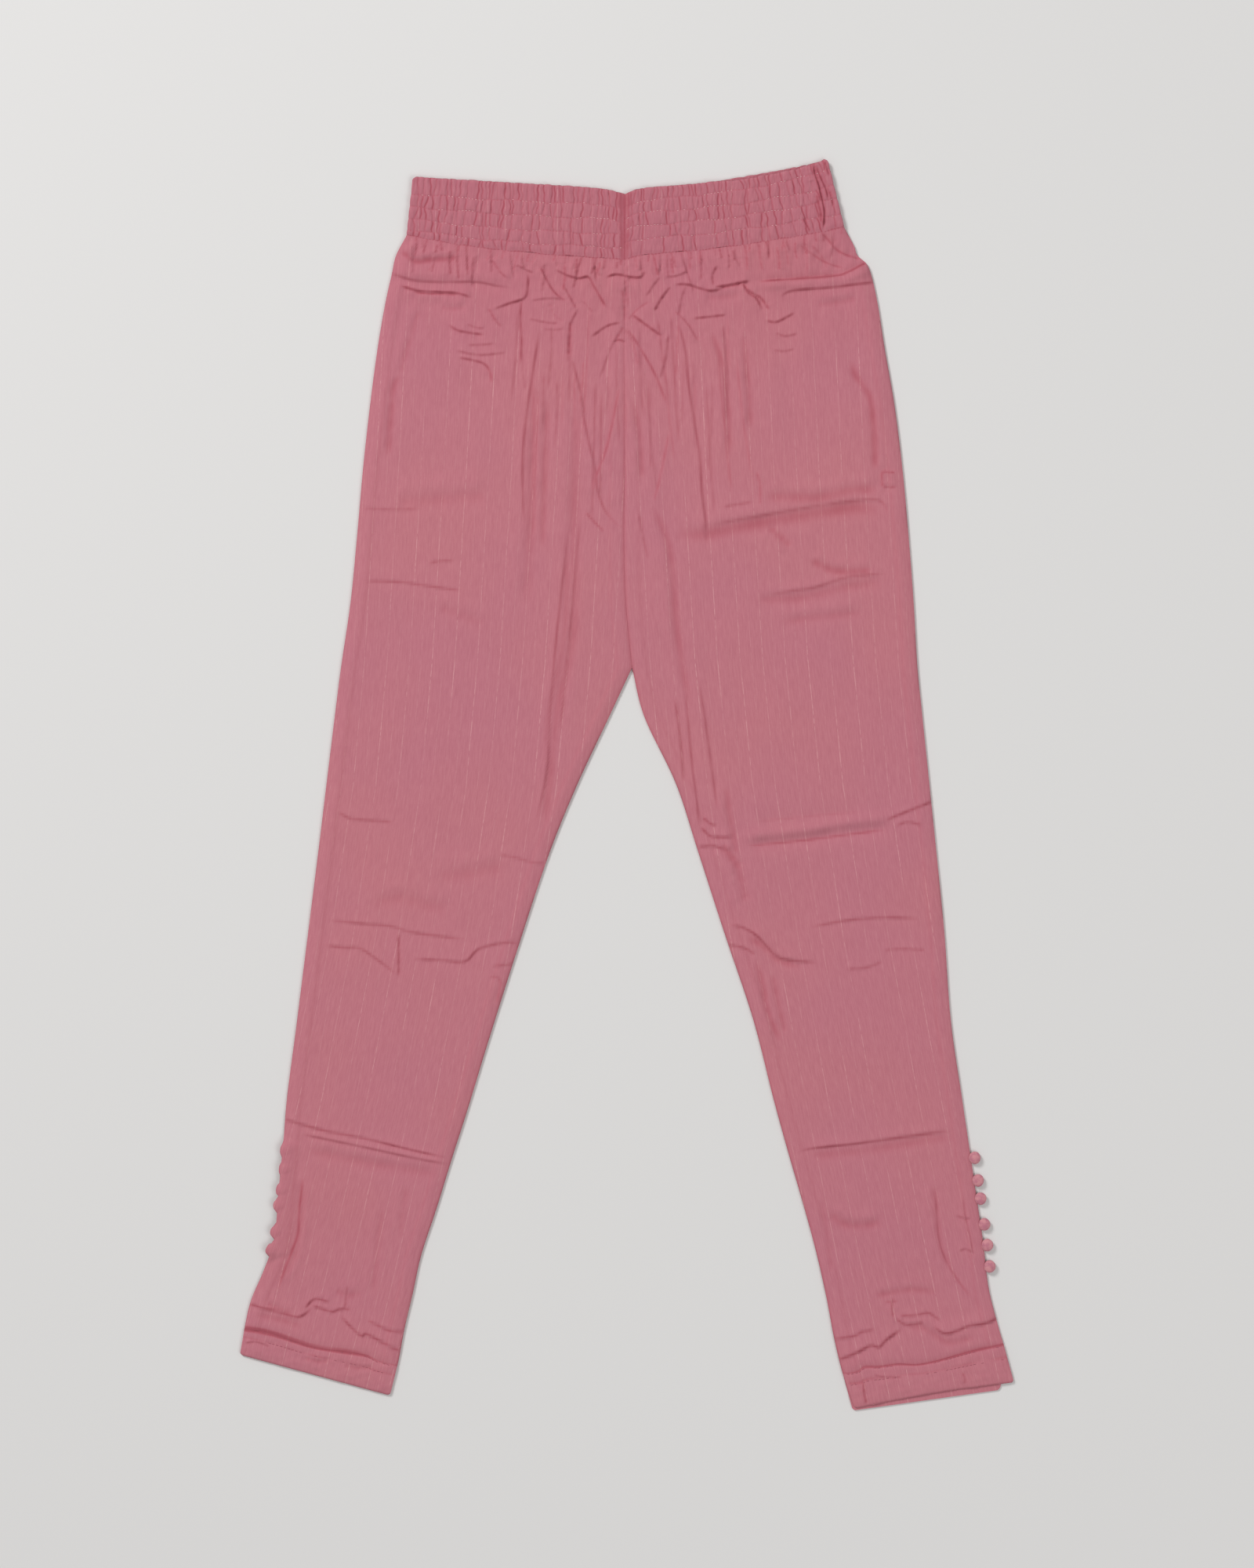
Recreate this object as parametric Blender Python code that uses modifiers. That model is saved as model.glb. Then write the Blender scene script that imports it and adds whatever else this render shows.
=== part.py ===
"""Churidar pants that lie flat on a surface, front up, with the waist towards +Y.

Metres, +Z up. The origin is the centre of the outline, on the surface that the pants lie on.
Left and right are the sides seen from above, at -X and +X. Sizes below are in millimetres.
"""

import math
from collections import namedtuple

import bmesh
import bpy
from mathutils import Vector

MM = 0.001

# Cloth and seams
CLOTH = 1.2
HEM_CLOTH = 1.7
BAND_CLOTH = 2.0
SEAM_GAP = 0.3
LAYER_GAP = 0.3

# Front panels: the height that the laid cloth takes above its edges
PUFF = 1.5
EDGE_ROLL = 16.0
SEAM_ROLL = 9.0
WAIST_LIFT = 1.1
WAIST_LIFT_REACH = 50.0
WAIST_LIFT_AT_EDGES = 0.3
FOLD_FADE = 0.2

# Gathers: in the elastic band, and where the panels leave it
BAND_GATHERS = 18
BAND_GATHER_HEIGHT = 1.7
BAND_GATHER_VARIES = 0.25
STITCHED_PUFF = 0.6
PANEL_GATHERS = 11
PANEL_GATHER_HEIGHT = 1.3
PANEL_GATHER_REACH = 42.0
GATHER_REACH_VARIES = 0.5
GATHER_HEIGHT_VARIES = 0.3
GATHER_UNEVENNESS = 0.22

# Hems
HEM_PUFF = 0.5
HEM_COLUMNS = 10
HEM_ROWS = 3

# How finely the outline and the plain back are drawn
WAIST_CURVE_SECTIONS = 3.0
CURVE_STEPS = 48
EDGE_STEPS = 400
BACK_COLUMNS = 11
SMOOTH_ANGLE = math.radians(50.0)

# Stitch rows in the band, as shares of its height from the top
STITCH_ROWS = (0.24, 0.43, 0.62, 0.81)
BAND_EDGE_DROP = 0.9

# Cloth-covered buttons
BUTTON_WIDTH = 9.2
BUTTON_DEPTH = 8.6
BUTTON_HEIGHT = 5.0
BUTTON_SEGMENTS = 12
BUTTON_RINGS = 6

# The strip of the left leg that lies over its buttons
BUTTON_STRIP = 9.0
BUTTON_STRIP_FALL = 12.0
BUTTON_STRIP_TOP = -282.0
BUTTON_STRIP_END = -380.0
BUTTON_STRIP_RAMP = 16.0
BUTTON_CLEARANCE = 0.55
BUTTON_STRIP_LIFT = BUTTON_HEIGHT + BUTTON_CLEARANCE - CLOTH - LAYER_GAP

# How far the left leg's back stops short of its outer edge beside the buttons
PLACKET_TOP = -300.0
PLACKET_END = -366.0
PLACKET_SETBACK_TOP = 7.8
PLACKET_SETBACK_END = 5.0

PINK = (0.52, 0.17, 0.21, 1.0)
PINK_BAND = (0.50, 0.155, 0.195, 1.0)
PINK_BUTTON = (0.56, 0.19, 0.23, 1.0)
CLOTH_ROUGHNESS = 0.85

# From the waist seam to the crotch. rows is the number of grid rows down to the next section.
Seat = namedtuple("Seat", "left_x left_y seam_x seam_y right_x right_y rows")
SEAT = (
    Seat(-175.5, 437.5, -2.0, 418.0, 173.0, 444.0, 2),
    Seat(-184.0, 421.5, -2.0, 405.5, 185.0, 422.0, 2),
    Seat(-187.5, 406.5, -2.0, 394.0, 193.0, 411.0, 3),
    Seat(-193.0, 381.5, -2.0, 375.5, 199.5, 384.5, 2),
    Seat(-199.0, 346.0, -2.5, 344.0, 205.5, 347.0, 2),
    Seat(-205.0, 300.5, -2.0, 300.5, 213.5, 300.5, 2),
    Seat(-210.5, 250.5, -2.0, 250.5, 220.0, 247.0, 3),
    Seat(-215.5, 194.0, -2.5, 194.0, 225.0, 191.0, 2),
    Seat(-220.5, 144.0, -1.0, 144.0, 228.5, 144.0, 2),
)

# From the crotch to the hem, down the outer edge and the inner edge of one leg
Leg = namedtuple("Leg", "outer_x outer_y inner_x inner_y rows")
LEFT_LEG = (
    Leg(-228.0, 93.0, 4.0, 93.0, 2),
    Leg(-233.0, 53.5, -14.5, 53.5, 2),
    Leg(-239.5, 0.5, -40.0, -1.0, 2),
    Leg(-246.0, -53.0, -62.5, -56.5, 4),
    Leg(-255.0, -124.5, -87.5, -132.0, 3),
    Leg(-263.5, -192.0, -110.0, -203.0, 1),
    Leg(-271.0, -249.5, -128.0, -262.0, 4),
    Leg(-274.0, -287.0, -140.0, -299.5, 2),
    Leg(-277.5, -324.5, -152.0, -338.5, 2),
    Leg(-281.0, -362.0, -164.0, -375.0, 3),
    Leg(-289.5, -387.0, -170.5, -404.5, 2),
    Leg(-299.5, -410.5, -177.5, -434.5, 3),
    Leg(-304.5, -431.0, -182.5, -461.0, 3),
    Leg(-308.5, -454.5, -189.0, -487.0, 0),
)
RIGHT_LEG = (
    Leg(231.5, 94.0, 4.0, 93.0, 2),
    Leg(235.5, 53.5, 14.0, 53.5, 2),
    Leg(241.0, 0.5, 39.0, 0.5, 4),
    Leg(246.5, -53.0, 56.5, -53.0, 4),
    Leg(253.0, -118.5, 78.0, -119.5, 2),
    Leg(258.0, -187.0, 100.5, -187.0, 1),
    Leg(266.5, -246.5, 116.5, -249.5, 4),
    Leg(272.5, -287.0, 128.0, -291.5, 2),
    Leg(278.0, -324.5, 139.0, -329.5, 2),
    Leg(284.0, -365.5, 150.0, -369.5, 3),
    Leg(288.0, -399.5, 159.0, -409.0, 2),
    Leg(294.5, -426.5, 165.0, -441.0, 3),
    Leg(301.5, -451.0, 172.0, -469.5, 3),
    Leg(308.5, -476.5, 181.5, -497.5, 0),
)
# The back of the right leg slips out below the front at the hem, and its slit edge lies further in.
RIGHT_BACK_HEM = Leg(297.5, -482.5, 180.0, -499.0, 0)
HEM_SECTION = len(SEAT) + len(LEFT_LEG) - 2
CROTCH_SECTION = len(SEAT)

# The top edge of the band, and the seam under it, from side to centre
Band = namedtuple("Band", "top_x top_y seam_x seam_y")
LEFT_BAND = (
    Band(-170.5, 484.5, -175.5, 437.5),
    Band(-122.0, 481.5, -124.0, 428.5),
    Band(-62.5, 478.0, -64.0, 422.0),
    Band(-20.0, 475.0, -21.0, 419.0),
    Band(-2.0, 470.5, -2.0, 418.0),
)
RIGHT_BAND = (
    Band(159.5, 499.0, 173.0, 444.0),
    Band(142.0, 493.5, 152.0, 439.5),
    Band(72.0, 481.0, 76.0, 427.5),
    Band(14.0, 475.5, 15.0, 421.5),
    Band(-2.0, 470.5, -2.0, 418.0),
)

# The largest folds of the front, from start to end: ridges, or troughs where the height is negative
Fold = namedtuple("Fold", "start_x start_y end_x end_y width height")
FOLDS = (
    Fold(-183.0, 402.0, -110.0, 394.0, 7.0, 1.9),
    Fold(-80.0, 396.0, -52.0, 378.0, 6.0, 1.4),
    Fold(66.0, 399.0, 186.0, 409.0, 7.0, 2.2),
    Fold(30.0, 398.0, 52.0, 372.0, 6.0, 1.4),
    Fold(-70.0, 350.0, -82.0, 60.0, 10.0, 1.1),
    Fold(-96.0, 300.0, -100.0, 90.0, 9.0, 0.8),
    Fold(-44.0, 320.0, -46.0, 100.0, 8.0, -0.9),
    Fold(-45.0, 130.0, -68.0, -34.0, 8.0, -0.9),
    Fold(-28.0, 320.0, -20.0, 200.0, 9.0, 0.9),
    Fold(42.0, 350.0, 58.0, 60.0, 10.0, 1.1),
    Fold(14.0, 352.0, 34.0, 300.0, 7.0, 1.0),
    Fold(44.0, 204.0, 198.0, 228.0, 10.0, 1.5),
    Fold(92.0, -36.0, 236.0, -16.0, 11.0, 1.6),
    Fold(36.0, 40.0, 60.0, -34.0, 8.0, 1.2),
    Fold(86.0, -118.0, 150.0, -142.0, 9.0, 0.9),
    Fold(148.0, -112.0, 234.0, -107.0, 8.0, 0.8),
    Fold(-232.0, -108.0, -128.0, -122.0, 9.0, 0.8),
    Fold(-168.0, -142.0, -98.0, -130.0, 8.0, 0.8),
    Fold(-268.0, -270.0, -146.0, -292.0, 8.0, 1.3),
    Fold(146.0, -287.0, 258.0, -268.0, 8.0, 1.2),
    Fold(-298.0, -412.0, -228.0, -417.0, 6.0, 1.1),
    Fold(-226.0, -420.0, -186.0, -444.0, 6.0, 1.0),
    Fold(212.0, -412.0, 288.0, -421.0, 6.0, 1.1),
    Fold(168.0, -458.0, 204.0, -440.0, 6.0, 1.0),
)

# Button centres down the outer edge: how far down, and how far outside the cloth's edge
Button = namedtuple("Button", "y outside")
LEFT_BUTTONS = (
    Button(-291.0, -2.4),
    Button(-306.0, -2.8),
    Button(-322.5, -2.0),
    Button(-335.0, -0.8),
    Button(-356.0, -0.2),
    Button(-370.0, 0.1),
)
RIGHT_BUTTONS = (
    Button(-297.5, 4.6),
    Button(-315.5, 4.6),
    Button(-330.0, 4.6),
    Button(-350.5, 4.6),
    Button(-367.0, 4.6),
    Button(-384.0, 4.6),
)


def ease(share):
    """0 below 0, 1 above 1, and smooth between."""
    share = min(max(share, 0.0), 1.0)
    return share * share * (3.0 - 2.0 * share)


def smooth_curve(points, at):
    """The point at place at, a count of points from 0, on a smooth curve through points."""
    index = min(int(at), len(points) - 2)
    share = at - index
    before = points[index - 1] if index > 0 else 2 * points[0] - points[1]
    last = index + 2 >= len(points)
    after = 2 * points[-1] - points[-2] if last else points[index + 2]
    start, end = points[index], points[index + 1]
    leave = (end - before) / 2
    arrive = (after - start) / 2
    squared, cubed = share**2, share**3
    return (
        start * (2 * cubed - 3 * squared + 1)
        + leave * (cubed - 2 * squared + share)
        + end * (3 * squared - 2 * cubed)
        + arrive * (cubed - squared)
    )


def close_points(points):
    """Close points along the smooth curve through points."""
    spans = len(points) - 1
    return [smooth_curve(points, spans * i / CURVE_STEPS) for i in range(CURVE_STEPS + 1)]


def waist_line(band):
    """Close points along the band's lower seam, from the lowest x to the highest."""
    places = close_points([Vector((b.seam_x, b.seam_y)) for b in band])
    return sorted(places, key=lambda place: place.x)


def even_place(places, share):
    """The point at a share of the width that close points span, from their first to their last."""
    target = places[0].x + (places[-1].x - places[0].x) * share
    for before, after in zip(places, places[1:]):
        if min(before.x, after.x) <= target <= max(before.x, after.x):
            return before.lerp(after, (target - before.x) / (after.x - before.x))
    return places[-1].copy()


def outward(side):
    """The sign of x towards a leg's own side."""
    return -1.0 if side == "left" else 1.0


class LegShape:
    """The outline of one leg from the waist seam to the hem, as an outer and an inner edge."""

    def __init__(self, side, leg, band):
        self.side = side
        self.waist = waist_line(band)
        self.rows = [s.rows for s in SEAT] + [s.rows for s in leg]
        seat_outer = [Vector((getattr(s, side + "_x"), getattr(s, side + "_y"))) for s in SEAT]
        leg_outer = [Vector((s.outer_x, s.outer_y)) for s in leg]
        leg_inner = [Vector((s.inner_x, s.inner_y)) for s in leg]
        self.outer = seat_outer + leg_outer
        self.seam = [Vector((s.seam_x, s.seam_y)) for s in SEAT] + leg_inner[:1]
        self.inseam = leg_inner

    def outer_at(self, section):
        return smooth_curve(self.outer, section)

    def inner_at(self, section):
        """The centre seam down to the crotch, where the line turns, and the inseam from there."""
        if section <= CROTCH_SECTION:
            return smooth_curve(self.seam, section)
        return smooth_curve(self.inseam, section - CROTCH_SECTION)

    def waist_y(self, x):
        """The y of the band's lower seam at x."""
        for before, after in zip(self.waist, self.waist[1:]):
            if x <= after.x:
                return before.lerp(after, (x - before.x) / (after.x - before.x)).y
        return self.waist[-1].y

    def point(self, section, share):
        """A point of the panel, at a share of its width from the inner to the outer edge."""
        place = self.inner_at(section).lerp(self.outer_at(section), share)
        place.x += SEAM_GAP / 2 * outward(self.side)
        top = self.inner_at(0).lerp(self.outer_at(0), share)
        bend = self.waist_y(top.x) - top.y
        place.y += bend * (1.0 - ease(section / WAIST_CURVE_SECTIONS))
        return place

    def stations(self, first, last):
        """Places of the grid rows between two sections."""
        places = [
            section + row / self.rows[section]
            for section in range(first, last)
            for row in range(self.rows[section])
        ]
        return places + [float(last)]


def outer_edge_x(shape, y):
    """The x of a leg's outer edge at height y, below the crotch."""
    span = HEM_SECTION + 1 - CROTCH_SECTION
    places = [shape.outer_at(CROTCH_SECTION + span * i / EDGE_STEPS) for i in range(EDGE_STEPS + 1)]
    return min(places, key=lambda p: abs(p.y - y)).x


def fold_height(x, y):
    """The folds' summed height at a point: each is soft across and dies away at its ends."""
    total = 0.0
    for fold in FOLDS:
        start = Vector((fold.start_x, fold.start_y))
        along = Vector((fold.end_x, fold.end_y)) - start
        offset = Vector((x, y)) - start
        share = offset.dot(along) / along.length_squared
        distance = (offset.x * along.y - offset.y * along.x) / along.length
        fade = ease(share / FOLD_FADE) * ease((1.0 - share) / FOLD_FADE)
        total += fold.height * fade * math.exp(-((distance / fold.width) ** 2))
    return total


def uneven(index):
    """A repeatable number from -1 to 1 for gather index, so that no two gathers match."""
    return math.sin(2.4 * index + 0.7) * math.cos(1.3 * index)


def gathered_share(column, columns):
    """The share across of a grid column whose gathers are unevenly wide."""
    if column in (0, columns):
        return column / columns
    return (column + GATHER_UNEVENNESS * uneven(column)) / columns


def button_strip_lift(shape, y, from_outer):
    """How far the left leg's cloth rises over the buttons under its outer edge."""
    if shape.side != "left":
        return 0.0
    down = ease((BUTTON_STRIP_TOP + BUTTON_STRIP_RAMP - y) / BUTTON_STRIP_RAMP)
    up = ease((y - BUTTON_STRIP_END + BUTTON_STRIP_RAMP) / BUTTON_STRIP_RAMP)
    inward = 1.0 - ease((from_outer - BUTTON_STRIP) / BUTTON_STRIP_FALL)
    return BUTTON_STRIP_LIFT * down * up * inward


def front_height(shape, point, column, width, share, below_band):
    """The height of the front panel's upper face."""
    from_inner = share * width
    from_outer = (1.0 - share) * width
    roll = ease(from_outer / EDGE_ROLL) * ease(from_inner / SEAM_ROLL)
    lift = WAIST_LIFT * math.exp(-((below_band / WAIST_LIFT_REACH) ** 2))
    gather = 0.0
    if column % 2:
        reach = PANEL_GATHER_REACH * (1.0 + GATHER_REACH_VARIES * uneven(column))
        size = PANEL_GATHER_HEIGHT * (1.0 + GATHER_HEIGHT_VARIES * uneven(column + PANEL_GATHERS))
        gather = size * math.exp(-((below_band / reach) ** 2))
    raised = PUFF * roll + lift * (WAIST_LIFT_AT_EDGES + (1.0 - WAIST_LIFT_AT_EDGES) * roll)
    raised += (gather + fold_height(point.x, point.y)) * roll
    over_buttons = button_strip_lift(shape, point.y, from_outer)
    return CLOTH + LAYER_GAP + CLOTH + max(raised, over_buttons)


def material(name, colour):
    made = bpy.data.materials.new(name)
    made.use_nodes = True
    shader = made.node_tree.nodes["Principled BSDF"]
    shader.inputs["Base Color"].default_value = colour
    shader.inputs["Roughness"].default_value = CLOTH_ROUGHNESS
    shader.inputs["Metallic"].default_value = 0.0
    return made


def add_object(name, mesh_tool, finish, parts):
    mesh = bpy.data.meshes.new(name)
    mesh_tool.to_mesh(mesh)
    mesh_tool.free()
    mesh.shade_smooth()
    mesh.set_sharp_from_angle(angle=SMOOTH_ANGLE)
    mesh.materials.append(finish)
    made = bpy.data.objects.new(name, mesh)
    parts.objects.link(made)
    return made


def placed_grid(columns, rows, place):
    """A grid of quads whose points are put in place by place(column, row), in millimetres."""
    grid = bmesh.new()
    bmesh.ops.create_grid(grid, x_segments=columns, y_segments=rows, size=0.5)
    for vert in grid.verts:
        column = round((vert.co.x + 0.5) * columns)
        row = round((0.5 - vert.co.y) * rows)
        vert.co = place(column, row) * MM
    return grid


def close_below(grid, underside):
    """Closes a grid down to a flat underside at that height."""
    rim = [edge for edge in grid.edges if edge.is_boundary]
    walls = bmesh.ops.extrude_edge_only(grid, edges=rim)["geom"]
    for piece in walls:
        if isinstance(piece, bmesh.types.BMVert):
            piece.co.z = underside * MM
    foot = [piece for piece in walls if isinstance(piece, bmesh.types.BMEdge) and piece.is_boundary]
    bmesh.ops.edgeloop_fill(grid, edges=foot)
    bmesh.ops.recalc_face_normals(grid, faces=grid.faces)


def face_up(grid):
    """Turns every face of an open sheet upwards."""
    bmesh.ops.recalc_face_normals(grid, faces=grid.faces)
    if sum(face.normal.z for face in grid.faces) < 0:
        bmesh.ops.reverse_faces(grid, faces=grid.faces)


def panel_point(shape, places, row, share):
    """A point of a grid row, drawn back from the band's seam above and the hem's seam below."""
    point = shape.point(places[row], share)
    if row == 0:
        point.y -= SEAM_GAP
    if row == len(places) - 1:
        point.y += SEAM_GAP
    return point


def front_panel(shape, finish, parts):
    """The front of one leg: a wall that follows its gathers and folds."""
    columns = 2 * PANEL_GATHERS
    places = shape.stations(0, HEM_SECTION)

    def place(column, row):
        share = gathered_share(column, columns)
        point = panel_point(shape, places, row, share)
        width = (shape.outer_at(places[row]) - shape.inner_at(places[row])).length
        below_band = shape.point(0.0, share).y - point.y
        height = front_height(shape, point, column, width, share, below_band)
        return Vector((point.x, point.y, height))

    grid = placed_grid(columns, len(places) - 1, place)
    face_up(grid)
    panel = add_object("front_" + shape.side, grid, finish, parts)
    wall = panel.modifiers.new("cloth", "SOLIDIFY")
    wall.thickness = CLOTH * MM
    wall.offset = -1.0
    wall.use_rim = True
    return panel


def placket_setback(shape, y):
    """How far the back's outer edge lies in from the front's, so that the buttons fit beside it."""
    if button_strip_lift(shape, y, 0.0) == 0.0:
        return 0.0
    share = min(max((PLACKET_TOP - y) / (PLACKET_TOP - PLACKET_END), 0.0), 1.0)
    return PLACKET_SETBACK_TOP + (PLACKET_SETBACK_END - PLACKET_SETBACK_TOP) * share


def back_panel(shape, finish, parts):
    """The back of one leg, flat on the surface. On the left its placket edge clears the buttons."""
    places = shape.stations(0, HEM_SECTION)

    def place(column, row):
        point = panel_point(shape, places, row, column / BACK_COLUMNS)
        if column == BACK_COLUMNS:
            point.x += placket_setback(shape, point.y)
        return Vector((point.x, point.y, CLOTH))

    grid = placed_grid(BACK_COLUMNS, len(places) - 1, place)
    close_below(grid, 0.0)
    return add_object("back_" + shape.side, grid, finish, parts)


def hem(shape, layer, edge, finish, parts):
    """The turned-up hem of one layer of a leg, from the hem stitching to its edge."""
    front = layer == "front"
    columns = HEM_COLUMNS if front else 1
    rows = HEM_ROWS if front else 1
    underside = CLOTH + LAYER_GAP if front else 0.0
    top = shape.inner_at(HEM_SECTION), shape.outer_at(HEM_SECTION)
    foot = Vector((edge.inner_x, edge.inner_y)), Vector((edge.outer_x, edge.outer_y))

    def place(column, row):
        share = column / columns
        upper = top[0].lerp(top[1], share)
        lower = foot[0].lerp(foot[1], share)
        point = upper.lerp(lower, row / rows)
        width = (top[1] - top[0]).length
        from_side = min(share, 1.0 - share) * width
        roll = ease(from_side / EDGE_ROLL) * (1.0 if row < rows else 0.0)
        height = underside + (HEM_CLOTH + HEM_PUFF * roll if front else CLOTH)
        return Vector((point.x, point.y, height))

    grid = placed_grid(columns, rows, place)
    close_below(grid, underside)
    return add_object(f"hem_{layer}_{shape.side}", grid, finish, parts)


def band_rows():
    """Shares of the band's height: its top, its stitch rows and its seam, and a row between each two."""
    lines = (0.0, *STITCH_ROWS, 1.0)
    shares = [0.0]
    for upper, lower in zip(lines, lines[1:]):
        shares += [(upper + lower) / 2, lower]
    return shares


def band_places(side, band):
    """A function for points of the band, at a share from centre to side and a share down its height."""
    top = close_points([Vector((b.top_x, b.top_y)) for b in reversed(band)])
    seam = close_points([Vector((b.seam_x, b.seam_y)) for b in reversed(band)])
    shift = SEAM_GAP / 2 * outward(side)

    def place(share, down, height):
        point = even_place(top, share).lerp(even_place(seam, share), down)
        return Vector((point.x + shift, point.y, height))

    return place


def band_front(side, band, finish, parts):
    """Half of the front waistband, with its gathers raised between the stitch rows."""
    columns = 2 * BAND_GATHERS
    shares = band_rows()
    underside = BAND_CLOTH + LAYER_GAP
    band_point = band_places(side, band)

    def place(column, row):
        share = gathered_share(column, columns)
        flat = underside + BAND_CLOTH
        gather = 0.0
        if column % 2:
            puffed = 1.0 if row % 2 else STITCHED_PUFF
            size = 1.0 + BAND_GATHER_VARIES * (uneven(column) + 0.5 * uneven(3 * column + row))
            gather = BAND_GATHER_HEIGHT * puffed * size
        edge = row in (0, len(shares) - 1) or column in (0, columns)
        height = flat - BAND_EDGE_DROP if edge else flat + gather
        return band_point(share, shares[row], height)

    grid = placed_grid(columns, len(shares) - 1, place)
    close_below(grid, underside)
    return add_object("waistband_front_" + side, grid, finish, parts)


def band_back(side, band, finish, parts):
    """Half of the back waistband, flat on the surface."""
    columns = 2 * BACK_COLUMNS
    band_point = band_places(side, band)

    def place(column, row):
        return band_point(column / columns, float(row), BAND_CLOTH)

    grid = placed_grid(columns, 1, place)
    close_below(grid, 0.0)
    return add_object("waistband_back_" + side, grid, finish, parts)


def button(name, centre_x, centre_y, finish, parts):
    """A cloth-covered button: a ball pressed a little flat, that rests on the surface."""
    ball = bmesh.new()
    bmesh.ops.create_uvsphere(
        ball, u_segments=BUTTON_SEGMENTS, v_segments=BUTTON_RINGS, radius=0.5
    )
    for vert in ball.verts:
        vert.co.x *= BUTTON_DEPTH * MM
        vert.co.y *= BUTTON_WIDTH * MM
        vert.co.z *= BUTTON_HEIGHT * MM
    made = add_object(name, ball, finish, parts)
    made.location = Vector((centre_x, centre_y, BUTTON_HEIGHT / 2)) * MM
    return made


def buttons(shape, rows, finish, parts):
    for number, row in enumerate(rows, 1):
        centre_x = outer_edge_x(shape, row.y) + outward(shape.side) * row.outside
        button(f"button_{shape.side}_{number}", centre_x, row.y, finish, parts)


def main():
    for old in list(bpy.data.objects):
        bpy.data.objects.remove(old)
    parts = bpy.data.collections.new("churidar_pants")
    bpy.context.scene.collection.children.link(parts)
    cloth = material("pink_cotton", PINK)
    band_cloth = material("pink_waistband", PINK_BAND)
    button_cloth = material("pink_button", PINK_BUTTON)
    left = LegShape("left", LEFT_LEG, LEFT_BAND)
    right = LegShape("right", RIGHT_LEG, RIGHT_BAND)
    for shape, band, rows, front_hem, back_hem in (
        (left, LEFT_BAND, LEFT_BUTTONS, LEFT_LEG[-1], LEFT_LEG[-1]),
        (right, RIGHT_BAND, RIGHT_BUTTONS, RIGHT_LEG[-1], RIGHT_BACK_HEM),
    ):
        front_panel(shape, cloth, parts)
        back_panel(shape, cloth, parts)
        hem(shape, "front", front_hem, cloth, parts)
        hem(shape, "back", back_hem, cloth, parts)
        band_front(shape.side, band, band_cloth, parts)
        band_back(shape.side, band, band_cloth, parts)
        buttons(shape, rows, button_cloth, parts)


main()
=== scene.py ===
"""Looks of the churidar pants: fine cloth shells with their gathers and creases, stitches and buttons.

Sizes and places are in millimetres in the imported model's frame, except where a comment says metres.
"""

import math
import random
from collections import namedtuple

import bpy
import numpy as np
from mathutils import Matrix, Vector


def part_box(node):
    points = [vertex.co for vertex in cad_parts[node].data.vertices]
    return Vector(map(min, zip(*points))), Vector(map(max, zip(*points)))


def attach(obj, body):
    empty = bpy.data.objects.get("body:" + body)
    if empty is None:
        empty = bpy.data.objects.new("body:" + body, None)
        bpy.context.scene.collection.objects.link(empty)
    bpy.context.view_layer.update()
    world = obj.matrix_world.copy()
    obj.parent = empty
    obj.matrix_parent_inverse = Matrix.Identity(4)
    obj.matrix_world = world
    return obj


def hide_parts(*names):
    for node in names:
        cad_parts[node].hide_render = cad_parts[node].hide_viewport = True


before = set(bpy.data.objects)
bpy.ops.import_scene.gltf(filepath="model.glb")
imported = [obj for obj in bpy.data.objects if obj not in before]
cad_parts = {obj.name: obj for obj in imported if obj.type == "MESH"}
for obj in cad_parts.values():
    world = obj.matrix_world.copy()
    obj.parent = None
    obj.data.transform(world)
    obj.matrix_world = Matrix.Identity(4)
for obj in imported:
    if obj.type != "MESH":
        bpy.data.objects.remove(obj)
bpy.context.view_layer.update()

MM = 0.001
BODY = "root"

# A line of shade on the cloth: its strength, from 0 to 1, and its reach
Shade = namedtuple("Shade", "tint reach")
# Soft waves, drawn from a seed; the stretch makes them longer along y
Wave = namedtuple("Wave", "height length seed stretch")

# Cloth; a value that ends in TOP or starts with LOWEST is a height above the floor
FRONT_EDGE_TOP = 2.35
LOWEST_TOP = 1.5
LOWEST_FRONT = 1.12
BACK_TOP = 1.05
BACK_LIFT = 0.7
BACK_LIFT_START = 4.0
BACK_LIFT_BLEND = 16.0
BACK_SHIFT = 4.0
CLOTH = 0.8
THINNEST = 0.25
# How much of the upper face's painted shade the underside gets
UNDER_SHADE = 0.2
PUFF = 1.35
EDGE_ROLL = 9.0
EDGE_ROUND = 2.6
EDGE_DROP = 0.6
EDGE_SLACK = 0.8
EDGE_HOLD = 3.0
EDGE_SHADE = Shade(0.05, 1.6)
SEAM_VALLEY = 0.35
SEAM_VALLEY_REACH = 2.4
ALLOWANCE = 11.5
ALLOWANCE_STEP = 0.32
ALLOWANCE_START = 1.0
ALLOWANCE_BLEND = 2.4
OUTER_ALLOWANCE_SHADE = Shade(0.10, 1.4)
INNER_ALLOWANCE_SHADE = Shade(0.08, 1.4)
BACK_ALLOWANCE_SHADE = Shade(0.1, 2.0)
TUCK = 0.3
WAIST_TUCK = 0.08
RIM_ANGLE = math.radians(60.0)
LONG_DRAPE = Wave(0.32, 95.0, 8, 1.0)
SHORT_DRAPE = Wave(0.16, 36.0, 9, 1.6)

# The shade along the centre seam and the legs' inner edges, which is stronger below a height
SEAM_TINT = 0.22
SEAM_TINT_REACH = 1.3
LOWER_SEAM_TINT = 0.16
LOWER_SEAM_Y = 325.0
LOWER_SEAM_BLEND = 40.0

# Where the leg's inner edge takes over from the centre seam, in sections
LEG_START = 1.0
LEG_BLEND = 1.3

# How many simple waves make soft ones, how their lengths differ, and what their sum is divided by
RIPPLES = 8
RIPPLE_LENGTHS = (0.6, 1.6)
RIPPLE_EVENING = 4.0

# Close points that stand for a smooth line
CURVE_POINTS = 400
LEG_POINTS = 1200
EDGE_POINTS = 2000
SEAM_POINTS = 700

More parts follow.
